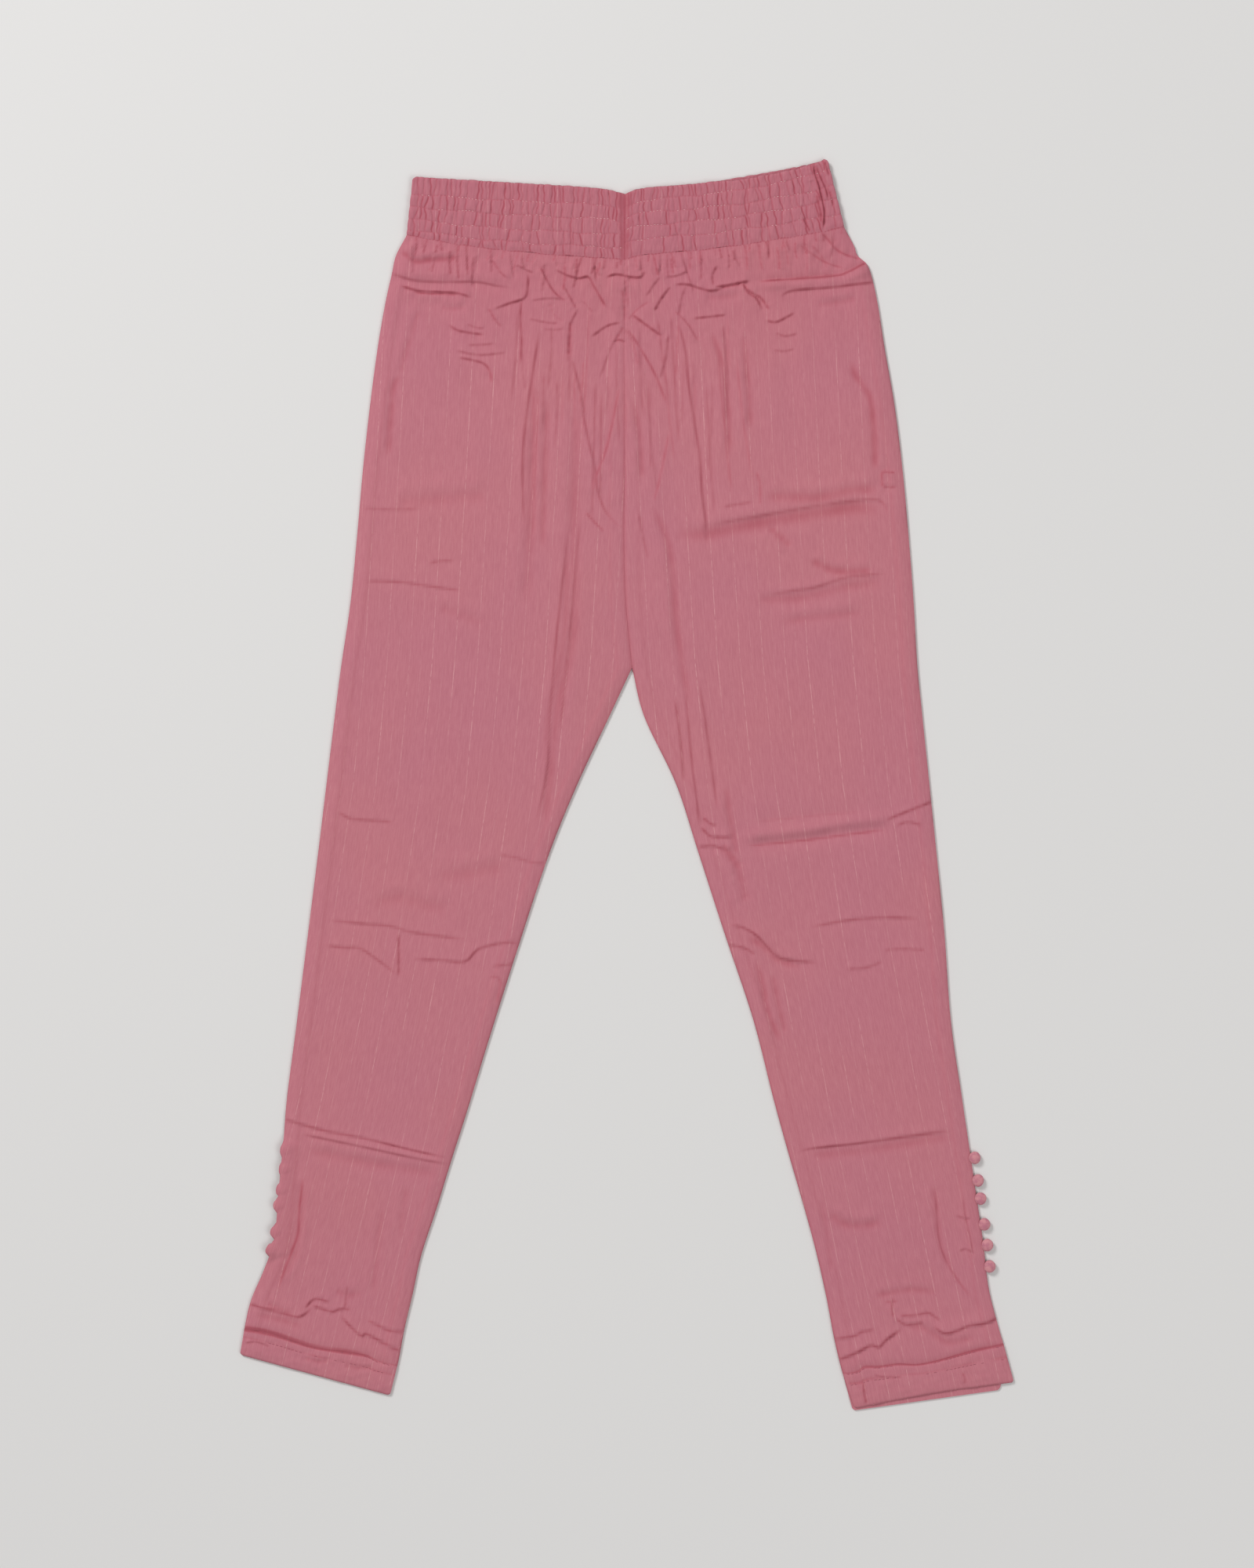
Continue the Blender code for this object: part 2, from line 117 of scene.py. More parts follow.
# Mesh spacing, and how many steps of a front's upper face make one of its underside
FRONT_STEP_ACROSS = 1.36
FRONT_STEP_DOWN = 1.95
HIP_REACH = 115.0
HIP_FINENESS = 0.55
ANKLE_ROWS = (-380.0, -284.0)
ANKLE_FINENESS = 0.6
BACK_STEP = 4.2
HEM_STEP = 0.9
BAND_STEP_ACROSS = 0.45
BAND_STEP_DOWN = 0.65
BAND_BACK_STEP = 1.1
COARSE = 3
LEG_WIDTH = 210.0

# Waist
SEAM_TOP = 3.6
WAIST_RISE = 9.0
WAIST_START = 0.5
WAIST_BEND_SECTIONS = 3.0
WAIST_LIFT = 1.0
WAIST_LIFT_REACH = 50.0
WAIST_EDGE_LIFT = 0.35
WAIST_STITCH_REACH = 0.8
HIP_SHADE = Shade(0.12, 70.0)
HIP_WAVES = Wave(0.4, 26.0, 5, 5.0)
HIP_WAVES_REACH = 150.0
HIP_GRAIN = Wave(0.16, 7.0, 52, 2.2)
HIP_GRAIN_REACH = 60.0

# Pleats under the band: a start is a share of the length above the band's seam; a tint is the strength of
# the painted shade along a pleat
WAIST_PLEATS = 34
PLEAT_LENGTHS = (6.0, 8.0, 11.0, 14.0, 18.0, 24.0)
PLEAT_STARTS = (0.5, 0.35, 0.1, -0.3)
PLEAT_LEANS = (-0.35, 0.35)
PLEAT_OUTWARD = 0.12
PLEAT_BENDS = (-1.2, 1.2)
PLEAT_WIDTHS = (2.6, 4.2)
PLEAT_HEIGHTS = (0.35, 0.7)
PLEAT_TINTS = (0.25, 0.75)
PLEATS_TURNED = 0.65
PLEAT_PLACES = (-0.4, 0.4)
PLEAT_STRETCH = (0.8, 1.2)

# Fine folds beside the centre seam, with painted shade along them
FINE_FOLDS = 16
FOLDS_FROM = 6.0
FOLDS_REACH = 84.0
FOLD_PLACES = (0.1, 0.9)
FOLD_TOPS = (310.0, 385.0)
FOLD_LENGTHS = (35.0, 120.0)
FOLD_LEANS = (-0.06, 0.14)
FOLD_BENDS = (-1.0, 1.0)
FOLD_WIDTHS = (3.0, 4.5)
FOLD_HEIGHTS = (0.15, 0.3)
FOLD_TINTS = (0.1, 0.4)

# Band
BAND_HEIGHT = 56.0
BAND_RIB = 1.25
BAND_BASE = 0.35
BAND_GRAIN = Wave(0.16, 3.4, 51, 3.0)
BAND_SWAY = Wave(0.6, 16.0, 33, 0.6)
BAND_END = 6.0
BAND_END_BULGE = 0.5
BAND_TOP_DROP = 0.3
BAND_TOP_ROUND = 1.7
BAND_BACK_TOP = 1.9
BAND_BACK_SINK = 0.35
BAND_BACK_LIFT = 0.5
# How much of the gathers' painted shade the band's back gets
BAND_BACK_TINT = 0.6
BAND_BACK_TOP_DROP = 0.2
BAND_BACK_SCALLOP = 0.8
BAND_BACK_SCALLOP_REACH = 12.0
BAND_BACK_ROW_SHADE = Shade(0.4, 1.2)
LOWEST_BAND = 1.95
CORNER = 4.0
PINCHED = 0.7
MEAN_PINCH = 0.6
MEAN_GATHER = 0.7
SCALLOP = 0.9
SCALLOP_START = 5.0
SCALLOP_REACH = 9.0
SEAM_WAVE = Wave(0.7, 18.0, 21, 1.0)
SEAM_WAVE_REACH = 9.0
SEAM_WAVE_ENDS = 8.0
SEAM_FLATTEN = 4.0
SEAM_FLATTENED = 0.6
DIP = 1.7
DIP_SHARES = (0.45, 0.93)
DIP_BLEND = 0.1
# The band's centre: a valley, a plain strip and the painted shade over them
CENTRE_SHADE = Shade(0.8, 0.9)
CENTRE_VALLEY_REACH = 2.0
CENTRE_PLAIN = 1.5
CENTRE_BLEND = 4.0
CENTRE_STRIP = 6.2
CENTRE_STRIP_LESS = 3.0
CENTRE_STRIP_TINT = 0.42
ROW_PITCH = 2.7
ROW_VALLEY = 0.15
ROW_VALLEY_REACH = 0.8
# Painted shade along the stitch rows, darker at each stitch
ROW_TINT = 0.28
ROW_TINT_DOTS = 0.22
ROW_TINT_REACH = 0.55
ROW_BLEND = 0.08
# Painted shade along the seam under the band, in patches and at each stitch
SEAM_STITCH_TINT = 0.4
SEAM_STITCH_PATCHES = 0.25
SEAM_STITCH_DOTS = 0.35
SEAM_STITCH_REACH = 0.7

# Gathers: their ends are distances from the centre and from the side; their tints are the strengths of the
# painted shade in the valleys between them
GATHER_RATIO = 1.3
GATHER_GAPS = (2.0, 2.6, 3.2, 4.2, 5.5, 8.0)
GATHER_GAP_CHANGES = (0.85, 1.15)
GATHER_CLOSEST = 2.0
GATHER_FIRST = (5.0, 9.0)
GATHER_ENDS = (4.0, 3.0)
GATHER_LEAN = 1.1
GATHER_DEPTHS = (0.5, 1.0)
GATHER_TINT = 0.62
GATHER_TINTS = (0.15, 0.2, 0.3, 0.4, 0.5, 0.65, 0.85, 1.0)
GATHERS_STEADY = 0.6
GATHER_DRIFTS = (0.4, 2.5)
GATHERS_ADDED = 3
GATHER_ADDED_ENDS = (6.0, 4.0)
GATHER_BEYOND = 4.0
GATHER_END_DEPTH = 0.8
GATHER_FULL_GAP = 8.0
GATHER_LEAST_GAP = 0.5

# Hem
HEM_DEPTH = 26.0
HEM_WIDTH = 128.0
HEM_STITCH = 9.0
HEM_BOW = 1.8
HEM_SECTION = 24.0
HEM_PULL_SECTIONS = 0.6
HEM_VALLEY = 0.9
HEM_VALLEY_REACH = 3.0
HEM_TUCK_REACH = 1.8
HEM_CORNER = 2.6
HEM_FOLDED = 0.25
HEM_PUFF = 0.8
HEM_FOOT_ROLL = 8.0
HEM_FOOT_PUFF = 0.3
HEM_FOOT_DROP = 1.9
HEM_SIDE_HOLD = 4.0
HEM_STITCH_DENT = 0.2
HEM_STITCH_DENT_REACH = 1.6
# Painted shade along the hem's stitching, in patches
HEM_STITCH_TINT = 0.16
HEM_STITCH_TINT_REACH = 1.2
HEM_FOOT_SHADE = Shade(0.12, 1.4)
HEM_WAVES = Wave(0.25, 20.0, 12, 1.0)
HEM_GRAIN = Wave(0.12, 8.0, 13, 1.0)
HEM_PATCHES = Wave(0.14, 22.0, 14, 1.0)
BACK_HEM_SHADE = Shade(0.6, 1.6)
BACK_HEM_STITCH_SHADE = Shade(0.2, 1.6)

# The hem's stitched line, from the inner edge to the outer one: how far it strays up the leg from
# straight, and the reach and the strength of its shade
HemMark = namedtuple("HemMark", "share rise reach tint")
LEFT_HEM_LINE = (
    HemMark(0.0, -2.3, 0.9, 0.25),
    HemMark(0.13, -2.2, 1.0, 0.4),
    HemMark(0.20, -0.2, 1.4, 0.9),
    HemMark(0.34, -1.3, 2.0, 1.0),
    HemMark(0.46, -3.2, 1.8, 0.95),
    HemMark(0.56, -3.8, 2.0, 1.0),
    HemMark(0.66, -2.9, 2.2, 1.0),
    HemMark(0.78, -1.5, 2.5, 1.0),
    HemMark(0.89, -1.3, 2.8, 1.0),
    HemMark(1.0, -2.8, 3.0, 1.0),
)
RIGHT_HEM_LINE = (
    HemMark(0.0, 0.3, 0.9, 0.4),
    HemMark(0.09, 0.2, 1.1, 0.6),
    HemMark(0.14, 3.2, 1.3, 0.8),
    HemMark(0.22, 1.8, 1.2, 0.85),
    HemMark(0.34, 1.5, 1.2, 0.85),
    HemMark(0.45, -1.1, 1.2, 0.9),
    HemMark(0.55, -0.8, 1.2, 0.85),
    HemMark(0.67, 1.1, 1.3, 0.95),
    HemMark(0.78, 3.2, 1.4, 1.0),
    HemMark(0.87, 4.4, 1.4, 1.0),
    HemMark(1.0, 5.4, 1.3, 0.8),
)

# The outline, as in the model's source: from the waist seam to the crotch
Seat = namedtuple("Seat", "left_x left_y seam_x seam_y right_x right_y")
SEAT = (
    Seat(-175.5, 437.5, -2.0, 418.0, 173.0, 444.0),
    Seat(-184.0, 421.5, -2.0, 405.5, 185.0, 422.0),
    Seat(-187.5, 406.5, -2.0, 394.0, 193.0, 411.0),
    Seat(-193.0, 381.5, -2.0, 375.5, 199.5, 384.5),
    Seat(-199.0, 346.0, -2.5, 344.0, 205.5, 347.0),
    Seat(-205.0, 300.5, -2.0, 300.5, 213.5, 300.5),
    Seat(-210.5, 250.5, -2.0, 250.5, 220.0, 247.0),
    Seat(-215.5, 194.0, -2.5, 194.0, 225.0, 191.0),
    Seat(-220.5, 144.0, -1.0, 144.0, 228.5, 144.0),
)

# From the crotch to the hem, down the outer edge and the inner edge of one leg
Leg = namedtuple("Leg", "outer_x outer_y inner_x inner_y")
LEFT_LEG = (
    Leg(-228.0, 93.0, 4.0, 93.0),
    Leg(-233.0, 53.5, -14.5, 53.5),
    Leg(-239.5, 0.5, -40.0, -1.0),
    Leg(-246.0, -53.0, -62.5, -56.5),
    Leg(-255.0, -124.5, -87.5, -132.0),
    Leg(-263.5, -192.0, -110.0, -203.0),
    Leg(-271.0, -249.5, -128.0, -262.0),
    Leg(-274.0, -287.0, -140.0, -299.5),
    Leg(-277.5, -324.5, -152.0, -338.5),
    Leg(-281.0, -362.0, -164.0, -375.0),
    Leg(-289.5, -387.0, -170.5, -404.5),
    Leg(-299.5, -410.5, -177.5, -434.5),
    Leg(-304.5, -431.0, -182.5, -461.0),
    Leg(-308.5, -454.5, -189.0, -487.0),
)
RIGHT_LEG = (
    Leg(231.5, 94.0, 4.0, 93.0),
    Leg(235.5, 53.5, 14.0, 53.5),
    Leg(241.0, 0.5, 39.0, 0.5),
    Leg(246.5, -53.0, 56.5, -53.0),
    Leg(253.0, -118.5, 78.0, -119.5),
    Leg(258.0, -187.0, 100.5, -187.0),
    Leg(266.5, -246.5, 116.5, -249.5),
    Leg(272.5, -287.0, 128.0, -291.5),
    Leg(278.0, -324.5, 139.0, -329.5),
    Leg(284.0, -365.5, 150.0, -369.5),
    Leg(288.0, -399.5, 159.0, -409.0),
    Leg(294.5, -426.5, 165.0, -441.0),
    Leg(301.5, -451.0, 172.0, -469.5),
    Leg(308.5, -476.5, 181.5, -497.5),
)
RIGHT_BACK_HEM = Leg(297.5, -482.5, 180.0, -499.0)
NOTCH_Y = 422.0
NOTCH_DEPTH = 1.8
NOTCH_REACH = 4.0
ACROSS = np.array([1.0, 0.0])
CROTCH = len(SEAT)
HEM = len(SEAT) + len(LEFT_LEG) - 2

Band = namedtuple("Band", "top_x top_y seam_x seam_y")
LEFT_BAND = (
    Band(-170.5, 484.5, -175.5, 437.5),
    Band(-122.0, 481.5, -124.0, 428.5),
    Band(-62.5, 478.0, -64.0, 422.0),
    Band(-20.0, 475.0, -21.0, 419.0),
    Band(-2.0, 470.5, -2.0, 418.0),
)
RIGHT_BAND = (
    Band(159.5, 499.0, 173.0, 444.0),
    Band(142.0, 493.5, 152.0, 439.5),
    Band(72.0, 481.0, 76.0, 427.5),
    Band(14.0, 475.5, 15.0, 421.5),
    Band(-2.0, 470.5, -2.0, 418.0),
)

# Stitch rows of the band, as shares of its height at the centre and at the side, and how much of
# each row's pale thread shows
StitchRow = namedtuple("StitchRow", "centre side pale")
LEFT_ROWS = (
    StitchRow(0.23, 0.30, 0.40),
    StitchRow(0.43, 0.51, 0.45),
    StitchRow(0.64, 0.72, 0.35),
    StitchRow(0.83, 0.90, 0.35),
)
RIGHT_ROWS = (
    StitchRow(0.20, 0.145, 0.3),
    StitchRow(0.37, 0.39, 0.40),
    StitchRow(0.56, 0.58, 0.5),
    StitchRow(0.75, 0.80, 0.35),
)

# A crease of the band's gathers, which leans across its channel; its tint is the strength of its painted
# shade
Gather = namedtuple("Gather", "place lean depth tint")

# A crease: its form, width and height, the strength of its shade and the points of its path.
# A lap or roll with a positive height has its ridge on the left of the path.
Crease = namedtuple("Crease", "form width height tint path")


def lap(width, height, tint, *path):
    """A crisp step from a ridge down to a trough."""
    return Crease("lap", width, height, tint, path)


def roll(width, height, tint, *path):
    """The same step as a lap's, but soft."""
    return Crease("roll", width, height, tint, path)


def trough(width, height, tint, *path):
    return Crease("trough", width, height, tint, path)


def ridge(width, height, tint, *path):
    return Crease("ridge", width, height, tint, path)


HIP_CREASES = (
    roll(6.0, 0.8, 0.6, (-179, 428), (-169, 419), (-157, 420), (-141, 421), (-134, 424)),
    trough(4.0, 0.6, 0.3, (-151, 418), (-155, 413), (-159, 408)),
    roll(9.0, 0.8, 0.0, (-198, 411), (-173, 403), (-152, 402), (-120, 402), (-90, 397)),
    lap(5.0, 0.48, 0.45, (-198, 411), (-173, 402), (-152, 400), (-120, 400), (-104, 397), (-87, 395)),
    lap(5.0, 0.8, 1.0, (-183, 398), (-166, 393), (-149, 392), (-135, 391), (-122, 387)),
    trough(3.0, 0.5, 0.9, (-172, 393), (-160, 391), (-147, 391), (-133, 390)),
    roll(9.0, 0.6, 0.0, (-178, 392), (-158, 387), (-138, 387), (-124, 384)),
    lap(5.0, 0.72, 0.8, (-107, 378), (-94, 383), (-87, 385), (-81, 388), (-79, 396), (-79, 409)),
    lap(4.5, 0.56, 0.5, (-89, 414), (-81, 410), (-74, 407)),
    lap(3.5, -0.4, 0.75, (-84, 390), (-85, 370), (-84, 354), (-85, 332)),
    lap(5.0, -0.8, 0.8, (-70, 414), (-62, 398), (-56, 390), (-48, 384)),
    lap(4.5, -0.64, 0.6, (-51, 398), (-45, 387), (-40, 378)),
    trough(4.0, 0.5, 0.25, (-62, 384), (-58, 374), (-50, 368)),
    lap(5.0, 0.72, 0.9, (-59, 411), (-47, 405), (-38, 403), (-31, 404), (-26, 396), (-15, 377)),
    lap(4.5, 0.4, 0.35, (-78, 385), (-62, 387), (-47, 386)),
    lap(4.0, 0.4, 0.3, (-36, 386), (-30, 379), (-27, 375)),
    lap(3.5, -0.48, 0.5, (-38, 381), (-43, 371), (-46, 363), (-47, 345), (-47, 334)),
    trough(3.0, 0.9, 1.0, (-45, 370), (-46, 356), (-47, 340)),
    lap(4.0, 0.4, 0.55, (-111, 380), (-105, 370), (-100, 364)),
    lap(3.5, 0.32, 0.4, (-79, 371), (-65, 368), (-54, 367)),
    lap(3.5, 0.24, 0.3, (-67, 363), (-58, 362), (-50, 363)),
    lap(3.5, -0.32, 0.6, (-136, 423), (-135, 412), (-134, 401)),
    lap(3.5, 0.4, 0.5, (-108, 419), (-101, 408), (-94, 402)),
    lap(3.0, -0.32, 0.45, (-153, 421), (-154, 414), (-156, 407)),
    lap(3.0, -0.4, 0.75, (-40, 420), (-40, 413), (-41, 406)),
    lap(3.5, 0.32, 0.4, (-26, 416), (-24, 409), (-21, 404)),
    lap(4.5, 0.56, 0.7, (-143, 367), (-136, 362), (-128, 360), (-113, 358)),
    lap(4.0, 0.32, 0.35, (-128, 367), (-121, 364), (-113, 363)),
    lap(4.0, 0.32, 0.35, (-128, 350), (-118, 350), (-105, 351)),
    lap(4.5, 0.4, 0.4, (-137, 346), (-126, 343), (-114, 342), (-95, 344)),
    lap(4.5, 0.56, 0.7, (-135, 340), (-124, 338), (-114, 335), (-109, 328), (-108, 318)),
    roll(6.0, 0.5, 0.2, (-148, 383), (-140, 381), (-128, 382)),
    lap(4.5, 0.56, 0.5, (30, 404), (40, 405), (49, 409)),
    lap(5.0, 0.72, 0.8, (36, 398), (48, 398), (58, 395), (67, 393), (77, 395)),
    lap(5.0, 0.88, 1.0, (69, 396), (78, 397), (88, 399), (99, 401)),
    trough(3.0, 0.6, 1.0, (73, 396), (82, 397), (94, 400)),
    roll(8.0, 0.8, 0.2, (62, 391), (74, 391), (90, 393)),
    lap(5.0, -1.04, 1.0, (101, 400), (113, 401), (142, 403), (165, 405), (176, 408), (191, 416), (203, 423)),
    trough(3.5, 0.6, 1.0, (110, 401), (142, 403), (165, 405), (176, 408), (200, 421)),
    ridge(3.5, 1.3, 0.0, (98, 396), (136, 398), (170, 401), (192, 409), (204, 415)),
    lap(4.5, 0.64, 0.75, (120, 386), (128, 392), (140, 394), (156, 395), (174, 397), (204, 401)),
    lap(5.0, -0.8, 0.9, (91, 401), (97, 391), (103, 387), (108, 377)),
    lap(4.0, 0.56, 0.8, (93, 396), (100, 391), (107, 387), (114, 377)),
    lap(4.5, 0.64, 0.7, (110, 370), (118, 368), (127, 372), (134, 376)),
    lap(4.0, 0.4, 0.4, (118, 360), (126, 357), (136, 359)),
    lap(4.0, 0.32, 0.3, (116, 346), (125, 345), (134, 347)),
    lap(4.5, 0.56, 0.65, (52, 371), (62, 372), (71, 373), (80, 374)),
    lap(4.5, -0.64, 0.6, (72, 414), (68, 405), (69, 396)),
    trough(7.0, 2.0, 0.8, (153, 441), (160, 434), (166, 427), (174, 422), (188, 418)),
    trough(8.0, 1.7, 0.6, (136, 431), (148, 422), (160, 415), (174, 411)),
    lap(3.5, -0.32, 0.45, (32, 424), (32, 414), (33, 402)),
    lap(3.5, -0.4, 0.5, (58, 426), (59, 414), (59, 400)),
    lap(3.5, 0.32, 0.45, (105, 431), (106, 420), (108, 408)),
    lap(3.5, 0.32, 0.4, (124, 434), (127, 424), (129, 411)),
    lap(3.5, 0.32, 0.4, (146, 430), (154, 422), (160, 410)),
    lap(3.0, -0.32, 0.4, (10, 421), (11, 414), (12, 404)),
    lap(5.0, -0.64, 0.5, (37, 378), (48, 367), (57, 352)),
    lap(5.0, -0.72, 0.75, (35, 397), (28, 388), (21, 376)),
    lap(4.5, -0.48, 0.45, (27, 405), (20, 396), (15, 388)),
    lap(4.0, -0.48, 0.4, (47, 398), (43, 385), (41, 372)),
    lap(5.0, 0.8, 0.95, (-18, 403), (-9, 406), (3, 404), (11, 404), (15, 410)),
    ridge(7.0, 0.7, 0.0, (-16, 399), (-4, 397), (12, 398)),
    lap(4.0, -0.48, 0.5, (-2, 404), (-1, 393), (1, 380)),
    roll(7.0, 0.6, 0.2, (150, 385), (165, 386), (183, 390)),
)
STAR_CREASES = (
    lap(4.5, -0.56, 0.6, (-4, 368), (-16, 365), (-29, 356)),
    lap(4.5, 0.72, 0.9, (3, 375), (15, 366), (29, 356)),
    trough(4.0, 0.7, 0.5, (-3, 365), (-6, 359), (-10, 353)),
    lap(3.0, 0.48, 0.7, (-11, 353), (-6, 354), (-1, 352)),
    lap(5.0, 0.64, 0.7, (-1, 365), (12, 345), (23, 325), (32, 302)),
    lap(4.5, 0.4, 0.35, (-2, 364), (5, 350), (9, 332)),
    trough(4.5, 0.7, 0.6, (-2, 367), (-2, 380), (-4, 396)),
    trough(4.0, 0.5, 0.4, (0, 369), (8, 378), (18, 385)),
    lap(5.0, -0.4, 0.35, (-4, 364), (-14, 345), (-22, 322)),
)
SIDE_CREASES = (
    roll(6.0, -0.35, 0.2, (-167, 382), (-173, 362), (-180, 339), (-183, 325)),
    roll(6.0, -0.5, 0.35, (-182, 329), (-188, 318), (-190, 300), (-193, 260)),
    roll(6.0, 0.6, 0.5, (180, 340), (184, 327), (189, 320), (196, 308), (199, 282), (200, 248)),
    lap(4.0, 0.5, 0.5, (203, 250), (203, 243), (204, 236)),
    lap(4.0, -0.6, 0.7, (202, 249), (208, 249), (214, 248)),
    lap(4.0, 0.5, 0.5, (203, 237), (209, 237), (215, 237)),
)
LONG_FOLDS = (
    lap(5.0, -0.45, 0.6, (-69, 368), (-75, 328), (-80, 295), (-83, 262), (-83, 228), (-82, 205)),
    roll(10.0, -0.5, 0.15, (-78, 290), (-81, 220), (-82, 173), (-85, 140)),
    roll(6.0, -0.5, 0.3, (-66, 310), (-68, 250), (-70, 185)),
    roll(6.0, -0.4, 0.25, (-76, 320), (-77, 238), (-78, 188)),
    roll(9.0, -0.45, 0.2, (-43, 320), (-44, 280), (-45, 247), (-46, 200), (-45, 137), (-50, 97), (-58, 60)),
    roll(7.0, -0.4, 0.25, (-48, 115), (-58, 60), (-63, 15), (-69, -38)),
    roll(6.0, -0.3, 0.2, (-51, 210), (-51, 137), (-56, 97), (-64, 60), (-70, 8)),
    ridge(8.0, 0.5, 0.0, (-55, 300), (-57, 220), (-57, 140), (-63, 90)),
    ridge(8.0, 0.5, 0.0, (-39, 190), (-38, 140), (-42, 90), (-50, 40)),
    lap(3.5, -0.4, 0.45, (-37, 215), (-42, 160), (-48, 94), (-54, 36)),
    lap(3.5, -0.4, 0.5, (-45, 215), (-55, 129), (-61, 62), (-64, 9), (-74, -36)),
    lap(4.5, -0.5, 0.5, (-44, 340), (-37, 312), (-33, 292)),
    lap(4.5, -0.45, 0.5, (-38, 312), (-31, 275), (-25, 250), (-24, 236), (-18, 219), (-9, 208), (-3, 203)),
    lap(4.5, -0.5, 0.6, (-33, 217), (-27, 210), (-18, 201)),
    lap(4.5, 0.6, 0.6, (-6, 318), (-12, 286), (-18, 262), (-24, 247), (-27, 232)),
    ridge(8.0, 0.7, 0.0, (-34, 290), (-29, 255), (-26, 228)),
    ridge(8.0, 0.6, 0.0, (-12, 272), (-14, 245), (-9, 218)),
    lap(5.0, -0.5, 0.6, (37, 380), (46, 348), (49, 319), (54, 286), (58, 261), (60, 230), (66, 190)),
    lap(4.0, -0.4, 0.4, (60, 232), (62, 210), (63, 190)),
    lap(4.5, -0.5, 0.5, (33, 360), (31, 340), (26, 322)),
    roll(6.0, -0.6, 0.4, (64, 362), (74, 332), (78, 295), (79, 258)),
    lap(4.0, -0.4, 0.4, (76, 370), (80, 326), (81, 296)),
    roll(6.0, -0.5, 0.3, (90, 360), (94, 320), (96, 280)),
    lap(4.5, 0.5, 0.4, (34, 282), (26, 243), (21, 224)),
    roll(6.0, -0.5, 0.3, (3, 306), (8, 274), (9, 240)),
    lap(4.0, -0.4, 0.35, (9, 218), (13, 196), (17, 178)),
    roll(7.0, -0.5, 0.3, (16, 224), (29, 195), (34, 166), (36, 132), (41, 96), (48, 58)),
    lap(4.5, -0.5, 0.5, (38, 70), (42, 40), (44, 18), (45, 0)),
    lap(5.0, -0.5, 0.45, (46, 78), (49, 46), (52, 14), (55, -8), (58, -38)),
    lap(5.0, -0.5, 0.4, (57, 84), (63, 46), (66, 23), (69, 2), (72, -22)),
    roll(6.0, -0.5, 0.25, (76, 0), (79, -22), (82, -40), (86, -60)),
    lap(4.0, 0.6, 0.6, (60, -26), (66, -31), (72, -33)),
    ridge(9.0, 0.7, 0.0, (14, 250), (20, 200), (26, 150), (31, 110)),
    ridge(8.0, 0.6, 0.0, (50, 130), (55, 80), (60, 40), (64, 0)),
)
